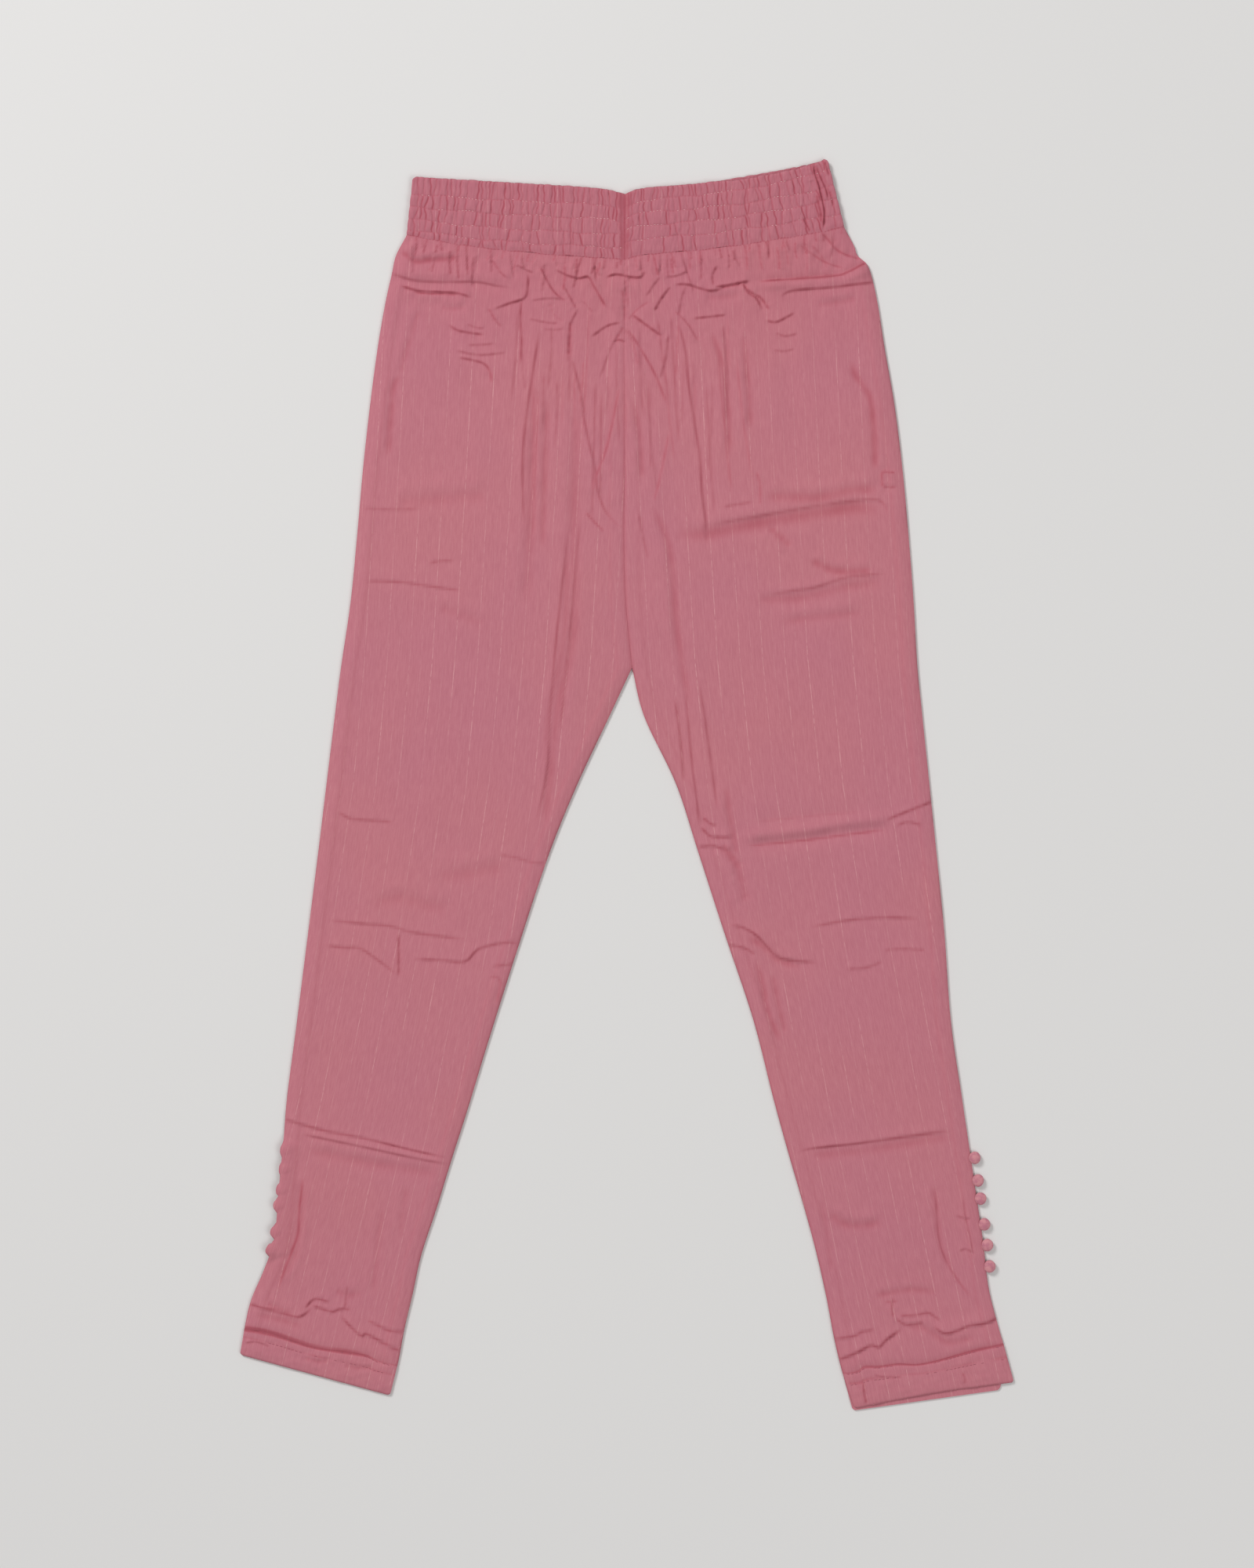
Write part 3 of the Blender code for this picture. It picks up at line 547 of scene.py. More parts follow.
KNEE_FOLDS = (
    roll(13.0, 0.6, 0.12, (-186, 229), (-150, 232), (-110, 235)),
    lap(5.0, 0.3, 0.3, (-212, 220), (-190, 219), (-164, 219)),
    lap(5.0, 0.4, 0.5, (-212, 162), (-180, 161), (-152, 157), (-129, 154)),
    lap(4.5, 0.35, 0.4, (-158, 176), (-148, 178), (-137, 178)),
    roll(9.0, 0.35, 0.1, (-150, 145), (-130, 138), (-112, 130)),
    lap(5.0, 0.4, 0.5, (-232, -21), (-221, -27), (-213, -28), (-185, -30)),
    lap(4.5, 0.3, 0.35, (-103, -56), (-90, -58), (-76, -62), (-64, -63)),
    roll(13.0, 0.5, 0.12, (-152, -68), (-125, -66), (-98, -60)),
    roll(11.0, 0.4, 0.1, (-205, -92), (-180, -86), (-160, -92), (-140, -96)),
    lap(5.0, 0.45, 0.5, (-240, -108), (-210, -111), (-188, -113), (-170, -118), (-125, -124)),
    lap(5.0, 0.45, 0.5, (-243, -128), (-225, -130), (-212, -131), (-193, -144), (-183, -152)),
    lap(4.0, -0.5, 0.6, (-182, -118), (-182, -136), (-182, -154)),
    lap(5.0, 0.55, 0.6, (-172, -139), (-148, -140), (-129, -141), (-118, -131), (-96, -126), (-84, -128)),
    lap(4.5, 0.4, 0.45, (-108, -145), (-99, -144), (-90, -143)),
    lap(4.0, 0.35, 0.35, (-111, -155), (-105, -153), (-101, -158), (-104, -176)),
    lap(4.5, 0.7, 0.6, (-285, -263), (-244, -275), (-209, -282), (-172, -291), (-140, -298)),
    ridge(3.0, 0.5, 0.0, (-262, -274), (-209, -286), (-172, -294), (-142, -301)),
    lap(4.5, 0.6, 0.4, (-262, -278), (-209, -289), (-172, -297), (-140, -303)),
    roll(10.0, 0.7, 0.15, (-258, -287), (-209, -297), (-172, -303), (-146, -307)),
    roll(9.0, 0.7, 0.3, (108, 233), (132, 232), (154, 232), (180, 238), (203, 238)),
    roll(12.0, 0.8, 0.4, (34, 204), (62, 204), (100, 212), (147, 220), (182, 225), (207, 222)),
    lap(4.5, 0.5, 0.4, (62, 206), (107, 214), (147, 221), (184, 226), (203, 225), (210, 208)),
    lap(4.5, 0.45, 0.4, (76, 221), (88, 223), (101, 225)),
    lap(4.5, 0.4, 0.4, (103, 250), (106, 238), (106, 222)),
    roll(7.0, -0.6, 0.3, (110, 204), (118, 197), (129, 187)),
    roll(7.0, 0.7, 0.4, (146, 182), (162, 174), (176, 172), (196, 173)),
    lap(4.5, 0.5, 0.4, (112, 151), (130, 154), (150, 157), (176, 165), (208, 168)),
    roll(9.0, 0.7, 0.2, (98, 150), (120, 151), (140, 152), (176, 161), (206, 164)),
    roll(8.0, 0.5, 0.15, (120, 132), (150, 136), (190, 140)),
    trough(9.0, 0.8, 0.15, (100, -30), (130, -27), (160, -24), (190, -22)),
    ridge(4.5, 0.7, 0.0, (86, -44), (118, -40), (146, -36), (176, -30), (222, -24)),
    roll(9.0, 1.2, 0.0, (90, -45), (118, -42), (146, -39), (176, -34), (212, -31)),
    trough(7.0, 0.45, 0.65, (94, -49), (118, -47), (146, -44), (176, -40), (208, -36)),
    lap(4.0, 0.6, 0.75, (205, -29), (217, -24), (250, -11)),
    lap(4.0, 0.5, 0.5, (214, -33), (224, -30), (236, -33)),
    lap(4.5, 0.7, 0.7, (58, -33), (66, -41), (74, -42), (86, -42)),
    lap(4.5, 0.7, 0.6, (56, -50), (69, -49), (78, -52), (84, -50)),
    roll(7.0, -0.7, 0.4, (72, -50), (80, -58), (88, -70)),
    roll(8.0, -0.5, 0.2, (84, -60), (88, -78), (92, -95)),
    lap(5.0, 0.5, 0.55, (144, -114), (160, -111), (178, -108), (206, -106), (234, -107)),
    lap(5.0, 0.7, 0.65, (80, -112), (92, -114), (104, -121), (118, -136), (130, -140), (153, -142)),
    roll(7.0, 0.6, 0.3, (96, -119), (110, -126), (122, -137), (140, -143)),
    lap(4.5, 0.6, 0.55, (76, -127), (88, -129), (95, -131), (103, -136)),
    lap(5.0, 0.4, 0.4, (174, -147), (190, -146), (204, -141)),
    lap(4.5, 0.35, 0.4, (204, -132), (220, -131), (239, -132)),
    roll(6.0, -0.6, 0.35, (100, -140), (106, -161), (109, -179), (120, -207)),
    roll(6.0, -0.4, 0.25, (113, -150), (118, -175), (124, -200)),
    lap(4.5, 0.6, 0.65, (134, -294), (147, -290), (183, -286), (219, -281), (262, -275)),
    roll(9.0, 0.5, 0.2, (140, -293), (181, -289), (208, -285), (238, -280), (262, -277)),
)
ANKLE_CREASES = (
    lap(3.5, 0.5, 0.8, (-258, -312), (-261, -339), (-262, -357), (-267, -372), (-272, -385), (-279, -404)),
    roll(5.0, 0.5, 0.15, (-256, -318), (-258, -351), (-263, -376), (-273, -396)),
    lap(
        4.5, 0.6, 0.75,
        (-312, -411), (-300, -414), (-290, -417), (-278, -420), (-264, -424), (-257, -422), (-250, -416),
    ),
    roll(5.0, 0.5, 0.25, (-287, -411), (-277, -416), (-266, -420)),
    lap(4.0, 0.6, 0.7, (-257, -418), (-251, -411), (-245, -410), (-236, -413)),
    lap(4.0, 0.6, 0.75, (-252, -415), (-245, -417), (-235, -420), (-229, -418), (-219, -418)),
    roll(6.0, 0.5, 0.2, (-296, -420), (-276, -424), (-258, -430)),
    lap(4.5, 0.7, 0.75, (-229, -422), (-222, -430), (-212, -439), (-207, -438), (-190, -447), (-170, -457)),
    lap(4.0, 0.5, 0.6, (-208, -426), (-196, -432), (-188, -435), (-166, -437)),
    lap(3.5, -0.3, 0.35, (-223, -398), (-224, -409), (-225, -419)),
    roll(6.0, -0.3, 0.12, (-197, -335), (-200, -360), (-205, -408)),
    roll(6.0, -0.25, 0.1, (-178, -318), (-181, -340), (-183, -362)),
    roll(7.0, 0.4, 0.2, (-231, -400), (-222, -404), (-212, -402)),
    lap(4.0, -0.4, 0.45, (243, -318), (246, -332), (249, -365), (259, -388), (275, -410)),
    roll(6.0, -0.5, 0.2, (242, -318), (244, -340), (247, -366), (256, -388)),
    lap(4.0, -0.4, 0.3, (267, -325), (269, -342), (271, -352), (274, -364), (275, -378)),
    lap(4.0, 0.4, 0.3, (262, -343), (267, -345), (274, -346)),
    lap(4.0, 0.4, 0.3, (264, -372), (270, -370), (277, -374)),
    lap(4.0, 0.6, 0.6, (216, -423), (228, -423), (239, -421), (244, -423), (250, -428)),
    ridge(5.0, 0.7, 0.0, (212, -412), (213, -421), (217, -426), (230, -426)),
    lap(4.0, 0.6, 0.6, (214, -425), (221, -430), (228, -430), (237, -428)),
    lap(3.0, -0.4, 0.4, (212, -408), (211, -416), (212, -425)),
    lap(3.0, 0.3, 0.35, (205, -412), (209, -412), (216, -412)),
    lap(
        4.5, 0.9, 0.85,
        (243, -430), (250, -436), (256, -437), (263, -435), (273, -431), (286, -429), (304, -421),
    ),
    ridge(5.0, 0.8, 0.0, (246, -428), (256, -432), (268, -429), (280, -426), (300, -419)),
    roll(6.0, 0.6, 0.2, (222, -428), (240, -432), (256, -442), (278, -437)),
    lap(4.5, 0.6, 0.65, (158, -443), (171, -441), (182, -439), (187, -436), (198, -434)),
    lap(
        4.5, 0.9, 0.95,
        (158, -461), (172, -457), (184, -452), (194, -447), (201, -448), (207, -442), (220, -433),
    ),
    roll(8.0, 0.6, 0.25, (162, -338), (174, -347), (188, -348), (203, -345)),
    roll(6.0, -0.3, 0.12, (152, -330), (157, -360), (161, -392)),
    roll(6.0, 0.4, 0.25, (195, -405), (208, -403), (226, -400), (248, -402)),
)
HEM_CREASES = (
    lap(2.5, -0.4, 0.6, (188, -472), (188.5, -480), (189, -486), (191, -494)),
    trough(2.5, 0.3, 0.45, (176, -477), (183, -477), (190, -476)),
    lap(3.0, 0.3, 0.3, (196, -470), (205, -472), (220, -472)),
    lap(2.5, -0.3, 0.35, (267, -468), (269, -473), (269, -478)),
    lap(3.0, 0.3, 0.3, (-305, -445), (-295, -444), (-284, -448)),
    roll(4.0, 0.4, 0.2, (-258, -455), (-246, -458), (-236, -457)),
    roll(4.0, 0.4, 0.2, (-226, -461), (-214, -463), (-202, -463)),
)
# The folds at the band's right end
END_FOLDS = (
    lap(
        3.0, -0.8, 1.0,
        (148, 495), (149.5, 486), (152.5, 477), (154, 470), (156, 462), (157, 454), (156, 441),
    ),
    lap(3.0, -0.6, 0.8, (150, 494), (152.5, 487), (155.5, 480), (158.5, 473), (160, 465)),
    lap(2.5, 0.5, 0.7, (151, 471), (152.5, 462), (154.5, 454), (154, 446)),
    lap(2.5, -0.4, 0.6, (157, 497), (159, 490), (161, 484)),
    lap(2.5, -0.4, 0.6, (161, 473), (163, 466), (164, 460)),
    lap(2.5, -0.5, 0.7, (140, 451), (142, 447), (146, 440)),
    roll(5.0, -0.7, 0.5, (146, 496), (147.5, 489), (150, 480)),
)
# Folds of the back panels, which lift their undersides a little off the floor
BACK_FOLDS = (
    ridge(9.0, 0.6, 0.3, (-186, 352), (-150, 344), (-96, 350), (-40, 338)),
    ridge(7.0, 0.45, 0.25, (-170, 300), (-120, 292), (-70, 298)),
    ridge(9.0, 0.6, 0.3, (30, 342), (86, 350), (140, 340), (190, 350)),
    ridge(7.0, 0.45, 0.25, (60, 296), (118, 288), (172, 296)),
    ridge(8.0, 0.5, 0.2, (-60, 330), (-66, 250), (-72, 160), (-84, 80)),
    ridge(8.0, 0.5, 0.2, (54, 322), (60, 240), (66, 160), (74, 76)),
    ridge(6.0, 0.5, 0.3, (-24, 150), (-52, 120), (-90, 104)),
    ridge(6.0, 0.5, 0.3, (22, 148), (54, 116), (92, 98)),
    ridge(10.0, 0.7, 0.35, (-232, -60), (-190, -70), (-140, -64), (-90, -74)),
    ridge(7.0, 0.5, 0.3, (-226, -96), (-180, -90), (-124, -98)),
    ridge(10.0, 0.7, 0.35, (84, -66), (130, -58), (184, -68), (232, -60)),
    ridge(7.0, 0.5, 0.3, (100, -98), (150, -92), (214, -100)),
    ridge(7.0, 0.4, 0.2, (-252, -210), (-216, -218), (-150, -210)),
    ridge(7.0, 0.4, 0.2, (120, -214), (180, -206), (240, -214)),
    ridge(6.0, 0.45, 0.3, (-262, -330), (-232, -338), (-180, -330)),
    ridge(6.0, 0.45, 0.3, (-284, -404), (-250, -412), (-200, -420)),
    ridge(6.0, 0.45, 0.3, (150, -332), (196, -340), (256, -330)),
    ridge(6.0, 0.45, 0.3, (176, -412), (220, -404), (270, -410)),
)
CREASES = HIP_CREASES + STAR_CREASES + SIDE_CREASES + LONG_FOLDS + KNEE_FOLDS + ANKLE_CREASES
CREASE_FADE = 0.15
CREASE_STEPS = 5
CREASE_REACH = 3.0
CREASE_UNEVEN = 0.3
# The width of the painted shade along a crease's line, and where a roll's band of painted shade lies in its
# hollow
TINT_WIDTH = 1.1
ROLL_TINT = 0.4

# The way that the stripes run down each leg: the grain's x at each height y
Grain = namedtuple("Grain", "y left right")
GRAIN = (
    Grain(520.0, -76.0, 86.0),
    Grain(400.0, -84.0, 92.0),
    Grain(250.0, -92.0, 99.0),
    Grain(100.0, -101.0, 108.0),
    Grain(0.0, -110.0, 118.0),
    Grain(-120.0, -128.0, 136.0),
    Grain(-250.0, -153.0, 160.0),
    Grain(-380.0, -183.0, 186.0),
    Grain(-520.0, -217.0, 216.0),
)

# The left buttons under the cloth: how far each centre is outside the edge
Button = namedtuple("Button", "y outside")
LEFT_BUTTONS = (
    Button(-291.0, -2.4),
    Button(-306.0, -2.8),
    Button(-322.5, -2.0),
    Button(-335.0, -0.8),
    Button(-356.0, -0.2),
    Button(-370.0, 0.1),
)
# The strip of cloth that the left buttons lift
BUTTON_STRIP_Y = (-384.0, -277.0)
BUTTON_STRIP_ENDS = 12.0
# The left back's edge is set back at the slit, under the buttons
SLIT_Y = (-398.0, -264.0)
SETBACK = 7.8
SETBACK_LESS = 2.8
SETBACK_LESS_Y = -300.0
SETBACK_LESS_BLEND = 66.0
SETBACK_SHARE = 0.9
SETBACK_BLEND = 0.1
# The right buttons sit further in than their nodes, and are plumper
BUTTON_INWARD = 1.6
BUTTON_PLUMP = np.array([1.12, 1.12, 1.0])
# How far each left button pushes the front's edge outward, and how they lift the cloth
BUTTON_BULGES = (1.9, 1.5, 2.3, 3.5, 4.1, 4.8)
BULGE_REACH = 4.7
BULGE_DEPTH = 10.0
BUTTON_LIFT = 3.9
BUTTON_LIFT_REACH = 7.5
STRIP_LIFT = 3.4
STRIP_REACH = 15.0
# The ball of a button, and the pulls of its cloth
BUTTON_RINGS = 22
BUTTON_TURNS = 36
BUTTON_PULLS = (7, 8, 9)
BUTTON_PULL_DEPTH = 0.07
BUTTON_UNEVEN = 0.012
BUTTON_POLE = 0.995

# Stitches: the rings of one are places along it and shares of its width
STITCH_RINGS = ((-0.5, 0.25), (-0.32, 1.0), (0.32, 1.0), (0.5, 0.25))
STITCH_SIDES = 6
STITCH_WOBBLE = 0.15
STITCH_ABOVE = 0.05
Thread = namedtuple("Thread", "pitch length width height")
BAND_THREAD = Thread(ROW_PITCH, 1.6, 0.42, 0.4)
HEM_THREAD = Thread(3.2, 2.2, 0.45, 0.35)
HEM_THREAD_SHOWN = 0.5
HEM_ROWS = (0.04, HEM_STITCH / HEM_DEPTH)
# The shares of the width between which the thread runs, and how many points its line has
BAND_ROW_SHARES = (0.01, 0.985, 600)
HEM_ROW_SHARES = (0.02, 0.98, 200)

# Camera, floor and light, in metres; the lens and the sensor in millimetres
VIEW_LENGTH = 1.25
LENS = 100.0
SENSOR = 36.0
CAMERA_Y = 0.0003
CAMERA_CLIP = 50.0
FLOOR_REACH = 4.0
FLOOR_DROP = 0.0002
Light = namedtuple("Light", "name place size power")
LIGHTS = (
    Light("key", (-2.5, 2.8, 3.2), 1.7, 147.0),
    Light("fill", (2.4, -1.6, 3.8), 3.0, 58.0),
)
WORLD_LIGHT = 0.40


def ease(share):
    share = np.clip(share, 0.0, 1.0)
    return share * share * (3.0 - 2.0 * share)


def bell(distance, reach, power=2):
    """1 at no distance, falling off to 0 beyond the reach."""
    return np.exp(-((distance / reach) ** power))


def from_low(low, share):
    """low at a share of 0, and 1 at a share of 1."""
    return low + (1.0 - low) * share


def shaded(tint, shade, distance, power=2):
    """The tint, made at least as strong as a line of shade is at a distance."""
    return np.maximum(tint, shade.tint * bell(distance, shade.reach, power))


def smooth_curve(points, at):
    """Points at places at (an array, counted in points from 0) on a smooth curve through points."""
    points = np.asarray(points, dtype=float)
    at = np.asarray(at, dtype=float)
    padded = np.vstack([2 * points[0] - points[1], points, 2 * points[-1] - points[-2]])
    index = np.clip(at.astype(int), 0, len(points) - 2)
    share = (at - index)[..., None]
    before, start, end, after = (padded[index + i] for i in range(4))
    leave = (end - before) / 2
    arrive = (after - start) / 2
    squared, cubed = share**2, share**3
    return (
        start * (2 * cubed - 3 * squared + 1)
        + leave * (cubed - 2 * squared + share)
        + end * (3 * squared - 2 * cubed)
        + arrive * (cubed - squared)
    )


def ripple(wave, x, y):
    """The height of soft, uneven waves."""
    draw = random.Random(wave.seed)
    total = 0.0
    for _ in range(RIPPLES):
        angle = draw.uniform(0.0, math.tau)
        size = math.tau / wave.length * draw.uniform(*RIPPLE_LENGTHS)
        phase = draw.uniform(0.0, math.tau)
        total = total + np.sin(
            size * (math.cos(angle) * x + math.sin(angle) * y / wave.stretch) + phase
        )
    return wave.height * (total / RIPPLE_EVENING)


def crease_line(path):
    """Close points along a crease, with their distance along it."""
    spans = len(path) - 1
    line = smooth_curve(path, np.linspace(0, spans, spans * CREASE_STEPS + 1))
    steps = np.linalg.norm(np.diff(line, axis=0), axis=1)
    return line, np.concatenate([[0.0], np.cumsum(steps)])


def crease_profile(form, q):
    """The height across a crease, q widths to the left of its line."""
    if form == "trough":
        return -np.exp(-1.3 * np.abs(q) ** 1.4)
    if form == "ridge":
        return np.exp(-(q**2))
    if form == "roll":
        return 3.3 * q * np.exp(-2.0 * q**2)
    return 1.45 * np.tanh(7.0 * q) * np.exp(-1.25 * np.abs(q))


def crease_tint(crease, across):
    """The shade along a crease: a thin line, or for a roll a soft band in its hollow."""
    if crease.form != "roll":
        return bell(across, TINT_WIDTH)
    hollow = across / crease.width + math.copysign(ROLL_TINT, crease.height)
    return bell(hollow, ROLL_TINT)


def crease_field(creases, x, y):
    """Height, and the strength of the painted shade, that the creases give at points x, y."""
    height, tint = np.zeros(x.shape), np.zeros(x.shape)
    for number, crease in enumerate(creases):
        line, along = crease_line(crease.path)
        margin = CREASE_REACH * crease.width
        low, high = line.min(axis=0) - margin, line.max(axis=0) + margin
        near = (x > low[0]) & (x < high[0]) & (y > low[1]) & (y < high[1])
        if not near.any():
            continue
        point = np.stack([x[near], y[near]], axis=-1)[:, None, :]
        start, run = line[:-1][None], np.diff(line, axis=0)[None]
        share = ((point - start) * run).sum(-1) / np.maximum((run**2).sum(-1), 1e-9)
        share = np.clip(share, 0.0, 1.0)
        offset = point - start - share[..., None] * run
        distance = np.linalg.norm(offset, axis=-1)
        nearest = distance.argmin(axis=1)
        rows = np.arange(len(nearest))
        offset, run_here = offset[rows, nearest], run[0, nearest]
        side = np.sign(run_here[:, 0] * offset[:, 1] - run_here[:, 1] * offset[:, 0])
        across = distance[rows, nearest] * side
        place = along[nearest] + share[rows, nearest] * np.diff(along)[nearest]
        place = place / along[-1]
        fade = ease(place / CREASE_FADE) * ease((1.0 - place) / CREASE_FADE)
        long_waves, short_waves = np.sin(place * 9.0 + number), np.sin(place * 23.0 + 2.0 * number)
        uneven = 1.0 + CREASE_UNEVEN * long_waves * short_waves
        profile = crease_profile(crease.form, across / crease.width)
        height[near] += crease.height * uneven * fade * profile
        line_tint = crease.tint * uneven * fade * crease_tint(crease, across)
        tint[near] = np.maximum(tint[near], line_tint)
    return height, tint


class Curve:
    """Close points on a smooth curve, read by x."""

    def __init__(self, points):
        places = smooth_curve(points, np.linspace(0, len(points) - 1, CURVE_POINTS))
        self.places = places[np.argsort(places[:, 0])]

    def y(self, x):
        return np.interp(x, self.places[:, 0], self.places[:, 1])


def grid_count(length, spacing):
    """A count of points about spacing apart, that a coarser grid of every third point fits."""
    return COARSE * max(1, round(length / spacing / COARSE)) + 1


class LegShape:
    """The outline of one leg from the waist seam to the hem."""

    def __init__(self, side):
        self.side = side
        self.sign = -1.0 if side == "left" else 1.0
        leg = LEFT_LEG if side == "left" else RIGHT_LEG
        band = LEFT_BAND if side == "left" else RIGHT_BAND
        seat = [(getattr(s, side + "_x"), getattr(s, side + "_y")) for s in SEAT]
        self.outer_points = seat + [(s.outer_x, s.outer_y) for s in leg]
        self.inseam = [(s.inner_x, s.inner_y) for s in leg]
        self.seam = [(s.seam_x, s.seam_y) for s in SEAT] + self.inseam[:1]
        self.waist = Curve([(b.seam_x, b.seam_y) for b in band])
        self.foot = leg[-1]

    def outer(self, section):
        return smooth_curve(self.outer_points, section)

    def inner(self, section):
        section = np.asarray(section, dtype=float)
        above = smooth_curve(self.seam, np.minimum(section, CROTCH))
        below = smooth_curve(self.inseam, np.maximum(section - CROTCH, 0.0))
        return np.where((section <= CROTCH)[..., None], above, below)

    def place(self, section, share):
        """The point at a share of the width from the inner edge, the width and the way below the band."""
        inner, outer = self.inner(section), self.outer(section)
        if self.side == "right":
            outer = outer - NOTCH_DEPTH * bell(outer[..., 1:] - NOTCH_Y, NOTCH_REACH) * ACROSS
        point = inner + (outer - inner) * share[..., None]
        first_inner, first_outer = self.inner(0.0), self.outer(0.0)
        top = first_inner + (first_outer - first_inner) * share[..., None]
        bend = self.waist.y(top[..., 0]) - top[..., 1]
        point[..., 1] += bend * (1.0 - ease(section / WAIST_BEND_SECTIONS))
        below = top[..., 1] + bend - point[..., 1]
        return point[..., 0], point[..., 1], np.linalg.norm(outer - inner, axis=-1), below

    def up_the_leg(self, share):
        """The way from the hem's folded edge to its stitched line."""
        inner = np.subtract(self.inseam[-2], self.inseam[-1])
        outer = np.subtract(self.outer_points[-2], self.outer_points[-1])
        way = inner + (outer - inner) * share[..., None]
        return way / np.linalg.norm(way, axis=-1, keepdims=True)

    def grid(self, step_down, step_across):
        """Sections and shares of the width for a grid of even steps.

        The rows are closer in the hips and beside the buttons.
        """
        fine = np.linspace(0, HEM, LEG_POINTS)
        middle = (self.inner(fine) + self.outer(fine)) / 2
        length = np.concatenate([[0], np.cumsum(np.linalg.norm(np.diff(middle, axis=0), axis=1))])
        step = step_down * np.where(length[1:] < HIP_REACH, HIP_FINENESS, 1.0)
        ankle = (middle[1:, 1] > ANKLE_ROWS[0]) & (middle[1:, 1] < ANKLE_ROWS[1])
        step = step * np.where(ankle, ANKLE_FINENESS, 1.0)
        steps = np.concatenate([[0], np.cumsum(np.diff(length) / step)])
        even = np.linspace(0, steps[-1], grid_count(steps[-1], 1.0))
        share = np.linspace(0, 1, grid_count(LEG_WIDTH, step_across))
        return np.meshgrid(np.interp(even, steps, fine), share, indexing="ij")


def waist_pleats(shape):
    """Small pleats that run down from the band's seam, uneven in place, length and depth."""
    draw = random.Random(31 if shape.side == "left" else 47)
    pleats = []
    for number in range(WAIST_PLEATS):
        share = (number + 0.5 + draw.uniform(*PLEAT_PLACES)) / WAIST_PLEATS
        x, y, _, _ = (float(v) for v in shape.place(np.array(0.0), np.array(share)))
        long = draw.choice(PLEAT_LENGTHS) * draw.uniform(*PLEAT_STRETCH)
        lean = long * draw.uniform(*PLEAT_LEANS) + shape.sign * long * PLEAT_OUTWARD
        bend = draw.uniform(*PLEAT_BENDS)
        y += draw.choice(PLEAT_STARTS) * long
        path = (
            (x, y),
            (x + 0.4 * lean + bend, y - 0.6 * long),
            (x + lean, y - 1.3 * long),
        )
        height = draw.uniform(*PLEAT_HEIGHTS) * (-1.0 if draw.random() < PLEATS_TURNED else 1.0)
        pleats.append(lap(draw.uniform(*PLEAT_WIDTHS), height, draw.uniform(*PLEAT_TINTS), *path))
    return pleats


def fine_folds(shape):
    """Thin long folds that run down from the hips beside the centre."""
    draw = random.Random(12 if shape.side == "left" else 19)
    folds = []
    for number in range(FINE_FOLDS):
        place = number + draw.uniform(*FOLD_PLACES)
        x = shape.sign * (FOLDS_FROM + FOLDS_REACH * place / FINE_FOLDS)
        y = draw.uniform(*FOLD_TOPS)
        long = draw.uniform(*FOLD_LENGTHS)
        lean = shape.sign * long * draw.uniform(*FOLD_LEANS)
        path = (
            (x, y),
            (x + 0.45 * lean + draw.uniform(*FOLD_BENDS), y - 0.5 * long),
            (x + lean, y - long),
        )
        height = draw.uniform(*FOLD_HEIGHTS) * draw.choice((-1.0, -1.0, 1.0))
        folds.append(lap(draw.uniform(*FOLD_WIDTHS), height, draw.uniform(*FOLD_TINTS), *path))
    return folds


def button_places(shape, buttons):
    """Centres of buttons beside a leg's outer edge."""
    fine = np.linspace(CROTCH, HEM + 1, EDGE_POINTS)
    edge = shape.outer(fine)
    return [
        (edge[np.abs(edge[:, 1] - b.y).argmin(), 0] + shape.sign * b.outside, b.y) for b in buttons
    ]


def button_bulge(y):
    """How far the buttons push the left leg's outer edge outward at heights y."""
    pushes = [
        push * np.sqrt(np.clip(1.0 - ((y - b.y) / BULGE_REACH) ** 2, 0.0, 1.0))
        for b, push in zip(LEFT_BUTTONS, BUTTON_BULGES)
    ]
    return np.max(pushes, axis=0)


def edge_drop(distance):
    """How far cloth curls down at a distance from its edge."""
    inside = np.clip(1.0 - distance / EDGE_ROUND, 0.0, 1.0)
    return EDGE_DROP * (1.0 - np.sqrt(np.clip(1.0 - inside**2, 0.0, 1.0)))


def clear(distance):
    """How free the cloth is of an edge at a distance from it."""
    return ease((distance + EDGE_SLACK) / EDGE_HOLD)


def allowance_step(distance):
    """What the seam allowance under the cloth adds to its height at a distance from the seam."""
    over = 1.0 - ease((distance - ALLOWANCE + ALLOWANCE_START) / ALLOWANCE_BLEND)
    return ALLOWANCE_STEP * over * ease(distance / EDGE_HOLD)


